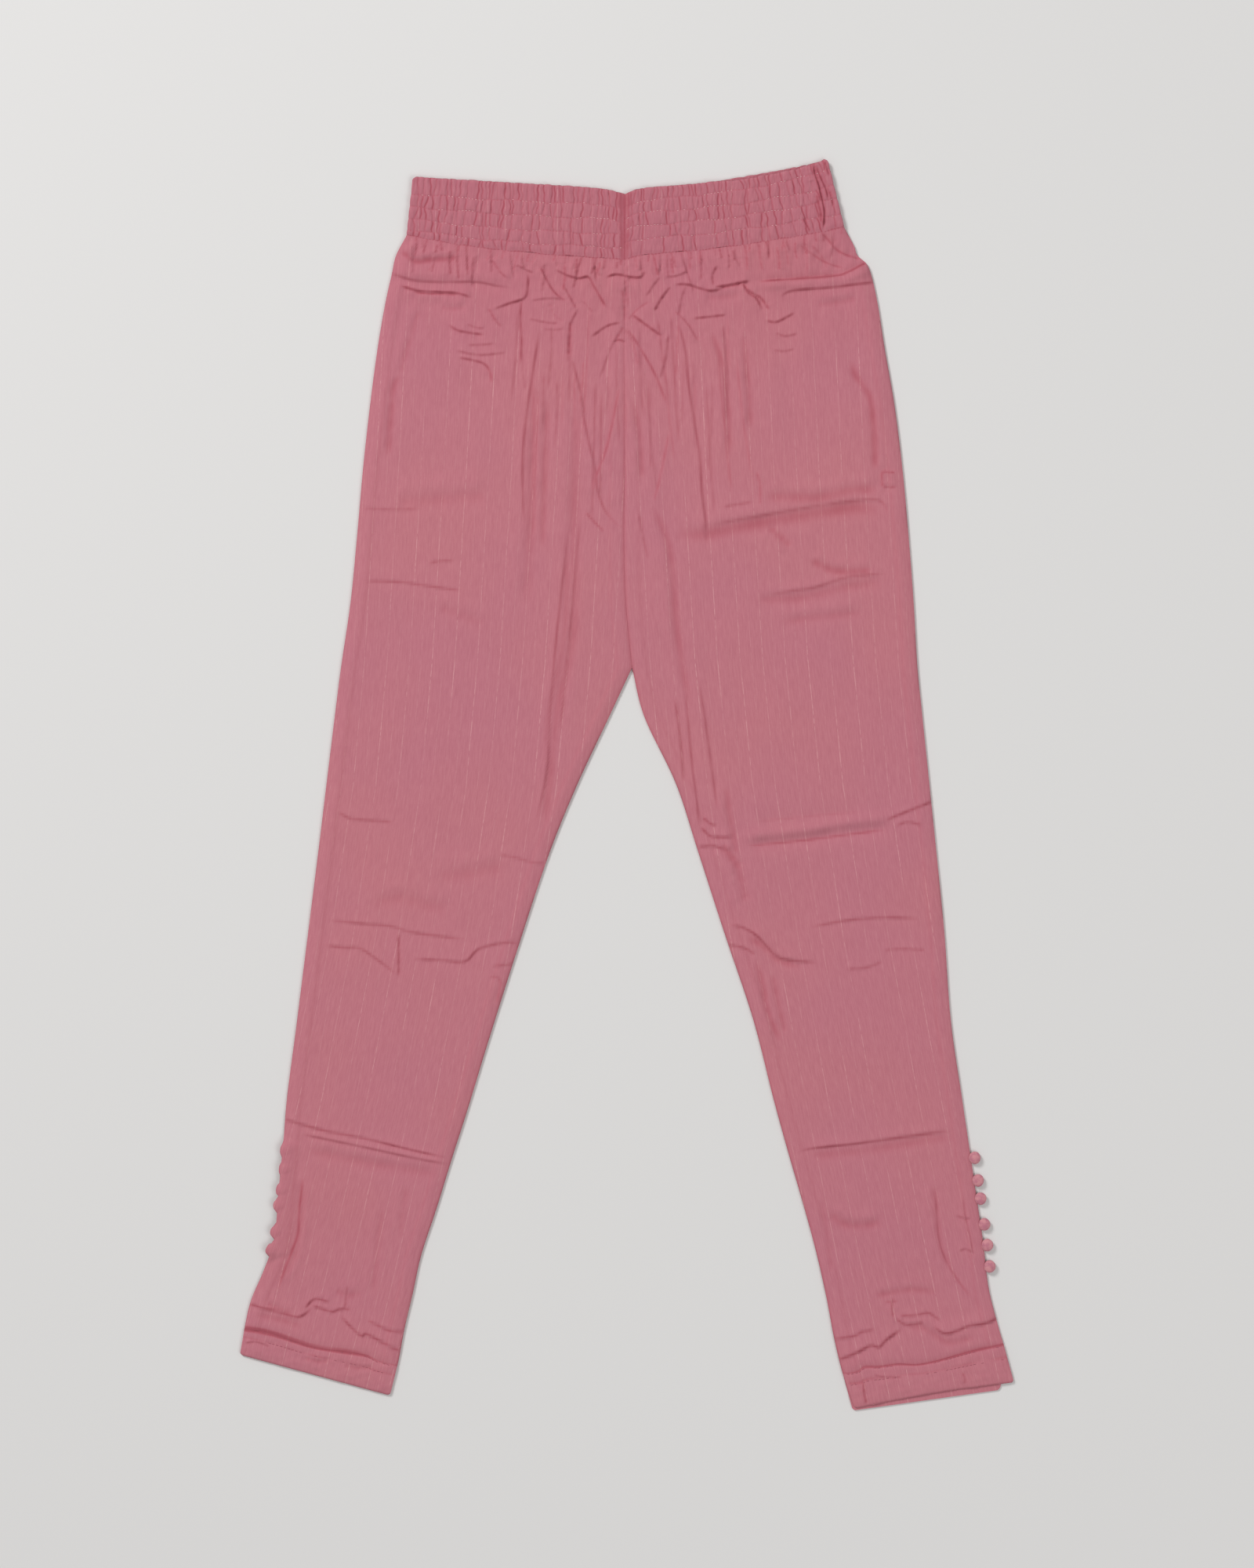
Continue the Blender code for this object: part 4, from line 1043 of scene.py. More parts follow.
class FrontSurface:
    """The upper face of a leg's front: its height and the painted shade of its creases and seams."""

    def __init__(self, shape, band):
        self.shape, self.band = shape, band
        self.creases = CREASES + tuple(waist_pleats(shape)) + tuple(fine_folds(shape))
        self.buttons = button_places(shape, LEFT_BUTTONS) if shape.side == "left" else []

    def over_buttons(self, x, y, z, from_outer):
        """The height z, raised where the cloth lies over buttons."""
        for centre_x, centre_y in self.buttons:
            away = np.hypot(x - centre_x, y - centre_y)
            z = np.maximum(z, FRONT_EDGE_TOP + BUTTON_LIFT * bell(away, BUTTON_LIFT_REACH, 3))
        if self.buttons:
            foot, top = BUTTON_STRIP_Y
            strip = ease((top - y) / BUTTON_STRIP_ENDS) * ease((y - foot) / BUTTON_STRIP_ENDS)
            strip = strip * bell(from_outer, STRIP_REACH, 2.5)
            z = np.maximum(z, FRONT_EDGE_TOP + STRIP_LIFT * strip)
        return z

    def seam_shades(self, tint, y, share, from_inner, from_outer, below):
        """The tint, with the lines of shade along the panel's seams."""
        tint = shaded(tint, OUTER_ALLOWANCE_SHADE, from_outer - ALLOWANCE)
        tint = shaded(tint, INNER_ALLOWANCE_SHADE, from_inner - ALLOWANCE)
        sewn = self.band.seam_tint(share * self.band.width) * bell(below, WAIST_STITCH_REACH)
        tint = np.maximum(tint, np.clip(sewn, 0.0, 1.0))
        seam_tint = SEAM_TINT + LOWER_SEAM_TINT * ease((LOWER_SEAM_Y - y) / LOWER_SEAM_BLEND)
        tint = shaded(tint, Shade(seam_tint, SEAM_TINT_REACH), from_inner)
        tint = shaded(tint, EDGE_SHADE, from_outer)
        return shaded(tint, HIP_SHADE, below)

    def at(self, section, share):
        shape = self.shape
        x, y, width, below = shape.place(section, share)
        rise, wide, dark = hem_line(shape.side, share)
        pull = rise * ease((section - HEM + HEM_PULL_SECTIONS) / HEM_PULL_SECTIONS)
        shift = pull[..., None] * shape.up_the_leg(share)
        x, y = x + shift[..., 0], y + shift[..., 1]
        above_hem = (HEM - section) * HEM_SECTION
        from_inner, from_outer = share * width, (1.0 - share) * width
        if self.buttons:
            x = x - button_bulge(y) * ease(1.0 - from_outer / BULGE_DEPTH)
        leg = ease((section - CROTCH + LEG_START) / LEG_BLEND)
        seat = 1.0 - SEAM_VALLEY / PUFF * bell(from_inner, SEAM_VALLEY_REACH)
        puff = (1.0 - leg) * seat + leg * ease(from_inner / EDGE_ROLL)
        puff = puff * ease(from_outer / EDGE_ROLL)
        free = clear(from_outer) * (1.0 - leg * (1.0 - clear(from_inner)))
        height, tint = crease_field(self.creases, x, y)
        waves = ripple(HIP_WAVES, x, y) * bell(below, HIP_WAVES_REACH)
        waves = waves + ripple(HIP_GRAIN, x, y) * bell(below, HIP_GRAIN_REACH)
        drape = ripple(LONG_DRAPE, x, y) + ripple(SHORT_DRAPE, x, y)
        lift = WAIST_LIFT * bell(below, WAIST_LIFT_REACH)
        z = FRONT_EDGE_TOP + PUFF * puff + lift * from_low(WAIST_EDGE_LIFT, puff)
        z = z + (height + waves + drape) * free
        z = z + allowance_step(from_outer)
        z = z + allowance_step(from_inner)
        z = z - HEM_VALLEY * bell(above_hem, HEM_VALLEY_REACH) * puff
        edge = self.band.edge(share)
        z = edge + (z - edge) * ease((below + WAIST_START) / WAIST_RISE)
        z = self.over_buttons(x, y, z, from_outer)
        z = z - edge_drop(from_outer) - leg * edge_drop(from_inner)
        tint = self.seam_shades(tint * free, y, share, from_inner, from_outer, below)
        tint = shaded(tint, Shade(dark, wide), above_hem, 4)
        return x, y, np.maximum(z, LOWEST_TOP), tint


def add_object(name, data):
    made = bpy.data.objects.new(name, data)
    bpy.context.scene.collection.objects.link(made)
    return made


def add_mesh(name, points, faces, uv=None, tint=None):
    """A smooth mesh from points in millimetres, with a cloth map in metres and a crease attribute that holds
    painted shade.

    The tint is kept as its cube root, which varies slowly enough for thin lines to stay whole
    between points.
    """
    mesh = bpy.data.meshes.new(name)
    mesh.from_pydata((np.asarray(points) * MM).tolist(), [], faces)
    mesh.update()
    if uv is not None:
        layer = mesh.uv_layers.new(name="cloth")
        corners = np.empty(len(mesh.loops), dtype=np.int32)
        mesh.loops.foreach_get("vertex_index", corners)
        layer.data.foreach_set("uv", (np.asarray(uv)[corners] * MM).ravel())
        # The painted shade of creases, seams and edges, which the cloth material reads
        mark = mesh.attributes.new("crease", "FLOAT", "POINT")
        mark.data.foreach_set("value", np.cbrt(np.clip(tint, 0.0, 1.0)).ravel())
    mesh.shade_smooth()
    return add_object(name, mesh)


def lowest_near(z, reach):
    """The lowest height within reach grid steps of each point."""
    for axis in (0, 1):
        widths = [(0, 0), (0, 0)]
        widths[axis] = (reach, reach)
        padded = np.pad(z, widths, mode="edge")
        count = z.shape[axis]
        near = [padded.take(range(first, first + count), axis=axis) for first in range(2 * reach + 1)]
        z = np.min(near, axis=0)
    return z


def quads(corner):
    """Quads of a grid of vertex numbers."""
    faces = np.stack([corner[:-1, :-1], corner[:-1, 1:], corner[1:, 1:], corner[1:, :-1]], axis=-1)
    return faces.reshape(-1, 4).tolist()


def rim(upper, lower):
    """Faces that join a fine edge to one that may be coarser, along the way of both."""
    each = (len(upper) - 1) // (len(lower) - 1)
    return [
        [*upper[each * i : each * (i + 1) + 1].tolist(), int(lower[i + 1]), int(lower[i])]
        for i in range(len(lower) - 1)
    ]


def shell(node, surface, uv, material, lowest, lifted=None):
    """A thin closed shell that stands for a node: the surface above, an underside below.

    The underside is coarser and follows the surface, or it is as fine and has the heights lifted.
    """
    x, y, z, tint = surface
    rows, columns = x.shape
    if lifted is None:
        under = (slice(None, None, COARSE), slice(None, None, COARSE))
        bottom = np.maximum(lowest_near(z, COARSE) - CLOTH, lowest)[under]
        bottom = np.minimum(bottom, np.maximum(z[under] - THINNEST, lowest))
        under_shade = UNDER_SHADE * tint[under]
    else:
        under = (slice(None), slice(None))
        bottom = np.minimum(lifted, z - THINNEST)
        under_shade = tint
    upper = np.arange(rows * columns).reshape(rows, columns)
    lower = rows * columns + np.arange(bottom.size).reshape(bottom.shape)
    faces = quads(upper) + quads(lower[:, ::-1])
    faces += rim(upper[0, ::-1], lower[0, ::-1]) + rim(upper[-1], lower[-1])
    faces += rim(upper[:, 0], lower[:, 0]) + rim(upper[::-1, -1], lower[::-1, -1])
    ahead = np.array([x[0, 1] - x[0, 0], y[0, 1] - y[0, 0]])
    down = np.array([x[1, 0] - x[0, 0], y[1, 0] - y[0, 0]])
    if ahead[0] * down[1] - ahead[1] * down[0] < 0:
        faces = [face[::-1] for face in faces]
    points = [np.stack([x, y, z], axis=-1), np.stack([x[under], y[under], bottom], axis=-1)]
    points = np.concatenate([part.reshape(-1, 3) for part in points])
    uv = np.concatenate([uv.reshape(-1, 2), uv[under].reshape(-1, 2)])
    tint = np.concatenate([tint.ravel(), under_shade.ravel()])
    made = add_mesh("cloth_" + node, points, faces, uv, tint)
    made.data.set_sharp_from_angle(angle=RIM_ANGLE)
    made.data.materials.append(material)
    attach(made, BODY)
    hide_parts(node)
    return made


def grain_x(side, y):
    """The x of the leg's grain at heights y."""
    heights = [g.y for g in reversed(GRAIN)]
    places = [getattr(g, side) for g in reversed(GRAIN)]
    return np.interp(y, heights, places)


def cloth_map(side, x, y, shift=0.0):
    """The cloth's own measure of each point: across the grain, and along it."""
    return np.stack([x - grain_x(side, y) + shift, y], axis=-1)


def hem_line(side, share):
    """The hem's stitched line: its rise from straight, and the reach and the strength of its shade."""
    marks = LEFT_HEM_LINE if side == "left" else RIGHT_HEM_LINE
    along = [mark.share for mark in marks]
    place = np.interp(share, along, np.arange(len(marks)))
    values = smooth_curve([mark[1:] for mark in marks], place)
    return values[..., 0], values[..., 1], values[..., 2]


def front_panel(shape, surface, material):
    """The front, whose sewn edges are tucked a little into their neighbours."""
    section, share = shape.grid(FRONT_STEP_DOWN, FRONT_STEP_ACROSS)
    x, y, z, tint = surface.at(section, share)
    y[0] += TUCK
    z[0] -= WAIST_TUCK
    y[-1] -= TUCK
    z[-1] -= TUCK
    if shape.side == "right":
        seat = section[:, 0] < CROTCH
        x[seat, 0] -= TUCK
        z[seat, 0] -= TUCK
    uv = cloth_map(shape.side, x, y)
    return shell(f"front_{shape.side}", (x, y, z, tint), uv, material, LOWEST_FRONT)


def slit_setback(shape, y):
    """How far the left back's outer edge is set back beside the slit."""
    if shape.side == "right":
        return np.zeros_like(y)
    foot, top = SLIT_Y
    less = np.clip((SETBACK_LESS_Y - y) / SETBACK_LESS_BLEND, 0.0, 1.0)
    return np.where((y < top) & (y > foot), SETBACK - SETBACK_LESS * less, 0.0)


def back_panel(shape, material):
    """The back lies flat under the front; only its underside has folds."""
    section, share = shape.grid(BACK_STEP, BACK_STEP)
    x, y, width, _ = shape.place(section, share)
    x = x + slit_setback(shape, y) * ease((share - SETBACK_SHARE) / SETBACK_BLEND)
    from_edge = np.minimum(share, 1.0 - share) * width
    folds, tint = crease_field(BACK_FOLDS, x, y)
    lifted = np.clip(folds, 0.0, BACK_LIFT) * ease((from_edge - BACK_LIFT_START) / BACK_LIFT_BLEND)
    z = np.full(x.shape, BACK_TOP)
    tint = shaded(tint, BACK_ALLOWANCE_SHADE, from_edge - ALLOWANCE)
    uv = cloth_map(shape.side, x, y, shift=BACK_SHIFT)
    return shell(f"back_{shape.side}", (x, y, z, tint), uv, material, 0.0, lifted)


class HemSurface:
    """The turned-up hem of one layer: from the hem's stitching to its folded edge."""

    def __init__(self, shape, layer, foot):
        self.shape, self.layer = shape, layer
        self.top = shape.inner(float(HEM)), shape.outer(float(HEM))
        self.foot = np.array([foot.inner_x, foot.inner_y]), np.array([foot.outer_x, foot.outer_y])

    def round_corners(self, point, share, from_side, from_foot):
        """Takes the two corners at the folded edge inward to arcs."""
        u = np.clip(1.0 - from_side / HEM_CORNER, 0.0, 1.0)
        v = np.clip(1.0 - from_foot / HEM_CORNER, 0.0, 1.0)
        across = self.top[1] - self.top[0]
        across = across / np.linalg.norm(across) * np.where(share < 0.5, 1.0, -1.0)[..., None]
        inward = (u * (1.0 - np.sqrt(1.0 - v**2 / 2.0)))[..., None] * across
        upward = (v * (1.0 - np.sqrt(1.0 - u**2 / 2.0)))[..., None] * self.shape.up_the_leg(share)
        return point + HEM_CORNER * (inward + upward)

    def at(self, down, share):
        across = share[..., None]
        upper = self.top[0] + (self.top[1] - self.top[0]) * across
        lower = self.foot[0] + (self.foot[1] - self.foot[0]) * across
        point = upper + (lower - upper) * down[..., None]
        width = np.linalg.norm(self.top[1] - self.top[0])
        depth = np.linalg.norm(self.foot[0] - self.top[0])
        from_side = np.minimum(share, 1.0 - share) * width
        from_foot, from_top = (1.0 - down) * depth, down * depth
        point = self.round_corners(point, share, from_side, from_foot)
        if self.layer == "back":
            x, y = point[..., 0], point[..., 1]
            tint = shaded(0.0, BACK_HEM_SHADE, from_top)
            tint = shaded(tint, BACK_HEM_STITCH_SHADE, from_top - HEM_STITCH)
            return x, y, np.full(x.shape, BACK_TOP), tint
        rise, wide, dark = hem_line(self.shape.side, share)
        point = point + (rise * (1.0 - down) ** 2)[..., None] * self.shape.up_the_leg(share)
        x, y = point[..., 0], point[..., 1]
        if self.shape.side == "right":
            y = y + HEM_BOW * np.sin(math.pi * share) * down
        puff = ease(from_side / EDGE_ROLL) * from_low(HEM_FOOT_PUFF, ease(from_foot / HEM_FOOT_ROLL))
        uneven = ripple(HEM_WAVES, x, y) + ripple(HEM_GRAIN, x, y)
        stitched = HEM_STITCH_DENT * bell(from_top - HEM_STITCH, HEM_STITCH_DENT_REACH)
        relief, tint = crease_field(HEM_CREASES, x, y)
        z = FRONT_EDGE_TOP + HEM_FOLDED + PUFF * HEM_PUFF * puff
        z = z + (uneven + relief - stitched) * ease(from_side / HEM_SIDE_HOLD)
        z = z - HEM_VALLEY * bell(from_top, HEM_TUCK_REACH) * puff
        z = z - edge_drop(from_side) - HEM_FOOT_DROP * edge_drop(from_foot)
        tint = shaded(tint, Shade(dark, wide), from_top, 4)
        patchy = HEM_STITCH_TINT + ripple(HEM_PATCHES, x, 0.0 * y)
        tint = shaded(tint, Shade(patchy, HEM_STITCH_TINT_REACH), from_top - HEM_STITCH)
        tint = shaded(tint, HEM_FOOT_SHADE, from_foot)
        return x, y, np.maximum(z, LOWEST_TOP), tint


def hem_panel(shape, layer, foot, material):
    """The hem's surface, and its shell."""
    surface = HemSurface(shape, layer, foot)
    step = HEM_STEP if layer == "front" else 2.0 * HEM_STEP
    down = np.linspace(0, 1, grid_count(HEM_DEPTH, step))
    share = np.linspace(0, 1, grid_count(HEM_WIDTH, step))
    down, share = np.meshgrid(down, share, indexing="ij")
    made_of = surface.at(down, share)
    uv = cloth_map(shape.side, made_of[0], made_of[1], shift=0.0 if layer == "front" else BACK_SHIFT)
    lowest = LOWEST_FRONT if layer == "front" else 0.0
    lifted = None if layer == "front" else np.zeros(share.shape)
    name = f"hem_{layer}_{shape.side}"
    return surface, shell(name, made_of, uv, material, lowest, lifted)


class BandSurface:
    """Half of the waistband: gathers that change from one stitched channel to the next."""

    def __init__(self, side, band, rows):
        self.side, self.rows = side, rows
        self.sign = -1.0 if side == "left" else 1.0
        top = [(b.top_x, b.top_y) for b in reversed(band)]
        seam = [(b.seam_x, b.seam_y) for b in reversed(band)]
        fine = np.linspace(0, len(band) - 1, CURVE_POINTS)
        self.top, self.seam = smooth_curve(top, fine), smooth_curve(seam, fine)
        self.width = abs(band[0].seam_x - band[-1].seam_x)
        self.channels = self.draw_gathers()

    def draw_gathers(self):
        """Creases of each channel in millimetres from the centre; many carry on from the one above."""
        draw = random.Random(71 if self.side == "left" else 36)
        last = self.width - GATHER_ENDS[1]
        places = []
        place = draw.uniform(*GATHER_FIRST)
        while place < last:
            places.append(place)
            place += draw.choice(GATHER_GAPS) * draw.uniform(*GATHER_GAP_CHANGES)
        channels = []
        for _ in range(len(self.rows) + 1):
            kept = [p for i, p in enumerate(places) if i == 0 or p - places[i - 1] > GATHER_CLOSEST]
            gathers = [self.draw_gather(draw, p) for p in kept]
            channels.append(gathers)
            moved = [g.place + g.lean / 2 + self.draw_drift(draw) for g in gathers]
            ends = GATHER_ADDED_ENDS[0], self.width - GATHER_ADDED_ENDS[1]
            added = [draw.uniform(*ends) for _ in range(GATHERS_ADDED)]
            places = sorted(p for p in moved + added if GATHER_ENDS[0] < p < last)
        return channels

    def draw_drift(self, draw):
        """How far a gather moves on its way to the next channel: most of them only a little."""
        steady, loose = GATHER_DRIFTS
        return draw.gauss(0.0, steady if draw.random() < GATHERS_STEADY else loose)

    def draw_gather(self, draw, place):
        lean = draw.gauss(0.0, GATHER_LEAN)
        return Gather(place, lean, draw.uniform(*GATHER_DEPTHS), draw.choice(GATHER_TINTS))

    def gathered(self, channel, inner, inside):
        """Height from 0 to 1 of one channel's gathers, and the painted shade in the valleys between them."""
        first = Gather(-GATHER_BEYOND, 0.0, GATHER_END_DEPTH, 0.0)
        last = Gather(self.width + GATHER_BEYOND, 0.0, GATHER_END_DEPTH, 0.0)
        gathers = [first, *self.channels[channel], last]
        place, lean, depth, tint = (np.array(values) for values in zip(*gathers))
        places = place + lean * (inside[..., None] - 0.5)
        after = np.clip((places <= inner[..., None]).sum(-1), 1, len(gathers) - 1)
        left = np.take_along_axis(places, (after - 1)[..., None], axis=-1)[..., 0]
        right = np.take_along_axis(places, after[..., None], axis=-1)[..., 0]
        gap = np.maximum(right - left, GATHER_LEAST_GAP)
        arch = np.sin(math.pi * np.clip((inner - left) / gap, 0.0, 1.0)) ** 0.42
        size = depth[after] * np.minimum(1.0, gap / GATHER_FULL_GAP) ** 0.7
        to_left, to_right = inner - left, right - inner
        strength = np.where(to_left < to_right, tint[after - 1], tint[after])
        return arch * size, strength * bell(np.minimum(to_left, to_right), GATHER_TINT)

    def even(self, places, share):
        """Points at even shares of the width."""
        reach = (places[:, 0] - places[0, 0]) / (places[-1, 0] - places[0, 0])
        return np.stack([np.interp(share, reach, places[:, i]) for i in range(2)], axis=-1)

    def row(self, number, share):
        """The share down the band of a stitch row."""
        row = self.rows[number]
        long_waves = 0.012 * np.sin(share * 21.0 + 2.0 * number)
        short_waves = 0.006 * np.sin(share * 57.0 + number)
        return row.centre + (row.side - row.centre) * share + (long_waves + short_waves)

    def place(self, share, down):
        top, seam = self.even(self.top, share), self.even(self.seam, share)
        return top + (seam - top) * down[..., None]

    def round_corner(self, x, y, outer, from_top):
        """Takes the upper side corner inward to an arc."""
        u = np.clip(1.0 - outer / CORNER, 0.0, 1.0)
        v = np.clip(1.0 - from_top / CORNER, 0.0, 1.0)
        x = x - self.sign * CORNER * u * (1.0 - np.sqrt(1.0 - v**2 / 2.0))
        return x, y - CORNER * v * (1.0 - np.sqrt(1.0 - u**2 / 2.0))

    def seam_tint(self, inner):
        """The shade of the stitches that sew the band to the panel."""
        patches = SEAM_STITCH_PATCHES * np.sin(inner * 0.31)
        dots = SEAM_STITCH_DOTS * np.sin(math.tau * inner / ROW_PITCH)
        return SEAM_STITCH_TINT + patches + dots

    def centre_strip(self, inner, down):
        """The shade of the plain strip at the centre, which narrows downward between uneven edges."""
        uneven = 1.0 + 0.15 * np.sin(down * 17.0) + 0.1 * np.sin(down * 41.0)
        patches = 0.12 * np.sin(2.3 * inner + 3.0 * down)
        tint = CENTRE_STRIP_TINT + patches + 0.1 * np.sin(11.0 * down)
        return Shade(tint, (CENTRE_STRIP - CENTRE_STRIP_LESS * down) * uneven)

    def edge(self, share):
        """The height of the edge that is sewn to the panel."""
        places = np.linspace(0.0, 1.0, SEAM_POINTS)
        return np.interp(share, places, self.at(places, np.ones(places.shape))[2])

    def across_channels(self, rows, inner, down):
        """How far the cloth is from being pinched by a row, and the gathers' height and painted shade."""
        lines = [np.full(inner.shape, -1.0), *rows, np.ones(inner.shape)]
        pinch, height, tint, weights = (np.zeros(inner.shape) for _ in range(4))
        for channel, (above, below) in enumerate(zip(lines, lines[1:])):
            span = np.where(above < 0.0, below, below - above)
            inside = (down - below) / span + 1.0
            here = (inside > 0.0) & (inside <= 1.0)
            within = np.clip(inside, 0.0, 1.0)
            arch = np.sin(math.pi * within) if channel else np.cos(math.pi / 2 * within)
            pinch = np.where(here, np.sqrt(np.clip(arch, 0.0, 1.0)), pinch)
            blend = ease((inside + ROW_BLEND) / (2.0 * ROW_BLEND))
            blend = blend * ease((1.0 + ROW_BLEND - inside) / (2.0 * ROW_BLEND))
            arched, line_tint = self.gathered(channel, inner, inside)
            height += blend * arched
            tint += blend * line_tint
            weights += blend
        weights = np.maximum(weights, 1e-6)
        return pinch, height / weights, tint / weights

    def outline(self, share, down, pinch, height):
        """x and y of the gathered cloth, which is drawn in and pushed out along its edges."""
        inner, outer = share * self.width, (1.0 - share) * self.width
        from_top, from_seam = down * BAND_HEIGHT, (1.0 - down) * BAND_HEIGHT
        point = self.place(share, down)
        x, y = point[..., 0], point[..., 1]
        x = x + ripple(BAND_SWAY, x, y) * ease(inner / BAND_END) * ease(outer / BAND_END)
        x = x + self.sign * BAND_END_BULGE * (pinch - MEAN_PINCH) * (1.0 - ease(outer / BAND_END))
        scallop = SCALLOP * (height - MEAN_GATHER) * (1.0 - ease(from_top / SCALLOP_REACH))
        scallop = scallop * ease(inner / SCALLOP_START)
        seam_wave = ripple(SEAM_WAVE, inner, 0.0 * inner) * (1.0 - ease(from_seam / SEAM_WAVE_REACH))
        seam_wave = seam_wave * ease(inner / SEAM_WAVE_ENDS) * ease(outer / SEAM_WAVE_ENDS)
        y = y + scallop - BAND_TOP_DROP * (1.0 - down) + seam_wave
        if self.side == "right":
            start, end = DIP_SHARES
            dip = DIP * ease((share - start) / DIP_BLEND) * ease((end - share) / DIP_BLEND)
            y = y - dip * (1.0 - down) ** 2
        return self.round_corner(x, y, outer, from_top)

    def at(self, share, down):
        inner, outer = share * self.width, (1.0 - share) * self.width
        from_top, from_seam = down * BAND_HEIGHT, (1.0 - down) * BAND_HEIGHT
        rows = [self.row(i, share) for i in range(len(self.rows))]
        nearest = np.min([np.abs(down - row) for row in rows], axis=0) * BAND_HEIGHT
        pinch, height, tint = self.across_channels(rows, inner, down)
        x, y = self.outline(share, down, pinch, height)
        fold, fold_tint = crease_field(END_FOLDS, x, y)
        flat = ease((inner - CENTRE_PLAIN) / CENTRE_BLEND)
        z = SEAM_TOP + from_low(PINCHED, pinch) * (BAND_BASE + BAND_RIB * height * flat)
        z = z + ripple(BAND_GRAIN, x, y) * flat
        z = z - ROW_VALLEY * bell(nearest, ROW_VALLEY_REACH)
        z = z - SEAM_VALLEY * bell(inner, CENTRE_VALLEY_REACH)
        z = SEAM_TOP + (z - SEAM_TOP) * from_low(SEAM_FLATTENED, ease(from_seam / SEAM_FLATTEN))
        z = z + fold - BAND_TOP_ROUND * edge_drop(from_top) - edge_drop(outer)
        dots = ROW_TINT + ROW_TINT_DOTS * np.sin(math.tau * inner / ROW_PITCH)
        tint = shaded(tint * from_low(PINCHED, pinch) * flat, Shade(dots, ROW_TINT_REACH), nearest)
        tint = shaded(tint, self.centre_strip(inner, down), inner, 6)
        tint = shaded(tint, CENTRE_SHADE, inner)
        tint = shaded(tint, Shade(self.seam_tint(inner) * flat, SEAM_STITCH_REACH), from_seam)
        tint = np.maximum(tint, fold_tint)
        return x, y, z, np.clip(tint, 0.0, 1.0)


def band_map(x, y):
    """The gathered cloth's own measure: wider than the band that it is drawn up to."""
    return np.stack([x * GATHER_RATIO, y], axis=-1)


def band_front(surface, material):
    share = np.linspace(0, 1, grid_count(surface.width, BAND_STEP_ACROSS))
    down = np.linspace(0, 1, grid_count(BAND_HEIGHT, BAND_STEP_DOWN))
    share, down = np.meshgrid(share, down, indexing="ij")
    made_of = surface.at(share, down)
    uv = band_map(made_of[0], made_of[1])
    return shell(f"waistband_front_{surface.side}", made_of, uv, material, LOWEST_BAND)


def band_back(surface, material):
    """The band's back, with the gathers of one channel all the way down."""
    share = np.linspace(0, 1, grid_count(surface.width, BAND_BACK_STEP))
    down = np.linspace(0, 1, grid_count(BAND_HEIGHT, 2.0 * BAND_BACK_STEP))
    share, down = np.meshgrid(share, down, indexing="ij")
    point = surface.place(share, down)
    height, tint = surface.gathered(1, share * surface.width, np.full(share.shape, 0.5))
    rows = np.min([np.abs(down - surface.row(i, share)) for i in range(len(surface.rows))], axis=0)
    tint = shaded(tint, BAND_BACK_ROW_SHADE, rows * BAND_HEIGHT)
    x, y = point[..., 0], point[..., 1]
    from_top, outer = down * BAND_HEIGHT, (1.0 - share) * surface.width
    scallop = BAND_BACK_SCALLOP * (height - 0.5) * (1.0 - ease(from_top / BAND_BACK_SCALLOP_REACH))
    y = y + scallop - BAND_BACK_TOP_DROP * (1.0 - down)
    x, y = surface.round_corner(x, y, outer, from_top)
    z = BAND_BACK_TOP - BAND_BACK_SINK * (1.0 - height)
    lifted = BAND_BACK_LIFT * (1.0 - np.clip(height, 0.0, 1.0))
    name = f"waistband_back_{surface.side}"
    made_of = x, y, z, BAND_BACK_TINT * tint
    return shell(name, made_of, band_map(x, y), material, 0.0, lifted)


def stitches(name, places, ways, thread, material):
    """Short stitches of a thread at places (x, y, z), each along its way (dx, dy)."""
    points, faces = [], []
    for place, way in zip(places, ways):
        way = np.array([way[0], way[1], 0.0]) / max(math.hypot(*way[:2]), 1e-9)
        side = np.array([-way[1], way[0], 0.0])
        first = len(points)
        for along, size in STITCH_RINGS:
            centre = np.array(place) + way * along * thread.length
            for turn in range(STITCH_SIDES):
                angle = math.tau * turn / STITCH_SIDES
                up = np.array([0.0, 0.0, math.sin(angle) * thread.height / 2 * size])
                points.append(centre + side * math.cos(angle) * thread.width / 2 * size + up)
        for ring in range(len(STITCH_RINGS) - 1):
            for turn in range(STITCH_SIDES):
                a = first + ring * STITCH_SIDES + turn
                b = first + ring * STITCH_SIDES + (turn + 1) % STITCH_SIDES
                faces.append((a, b, b + STITCH_SIDES, a + STITCH_SIDES))
        last = first + (len(STITCH_RINGS) - 1) * STITCH_SIDES
        faces.append(tuple(first + turn for turn in reversed(range(STITCH_SIDES))))
        faces.append(tuple(last + turn for turn in range(STITCH_SIDES)))
    made = add_mesh(name, points, faces)
    made.data.materials.append(material)
    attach(made, BODY)
    return made


def along_line(x, y, z, pitch, shown, draw):
    """Places and ways of the stitches that show, at an even pitch along a line."""
    points = np.stack([x, y, z + STITCH_ABOVE], axis=-1)
    steps = np.linalg.norm(np.diff(points[:, :2], axis=0), axis=1)
    length = np.concatenate([[0.0], np.cumsum(steps)])
    marks = np.arange(pitch / 2, length[-1], pitch)
    places = np.stack([np.interp(marks, length, points[:, i]) for i in range(3)], axis=-1)
    ahead = np.stack([np.interp(marks + 1.0, length, points[:, i]) for i in range(3)], axis=-1)
    chosen = [i for i in range(len(marks)) if draw.random() < shown * (1.0 + 0.8 * math.sin(0.3 * i))]
    ways = [
        (ahead[i, 0] - places[i, 0], ahead[i, 1] - places[i, 1] + draw.gauss(0, STITCH_WOBBLE))
        for i in chosen
    ]
    return [places[i] for i in chosen], ways


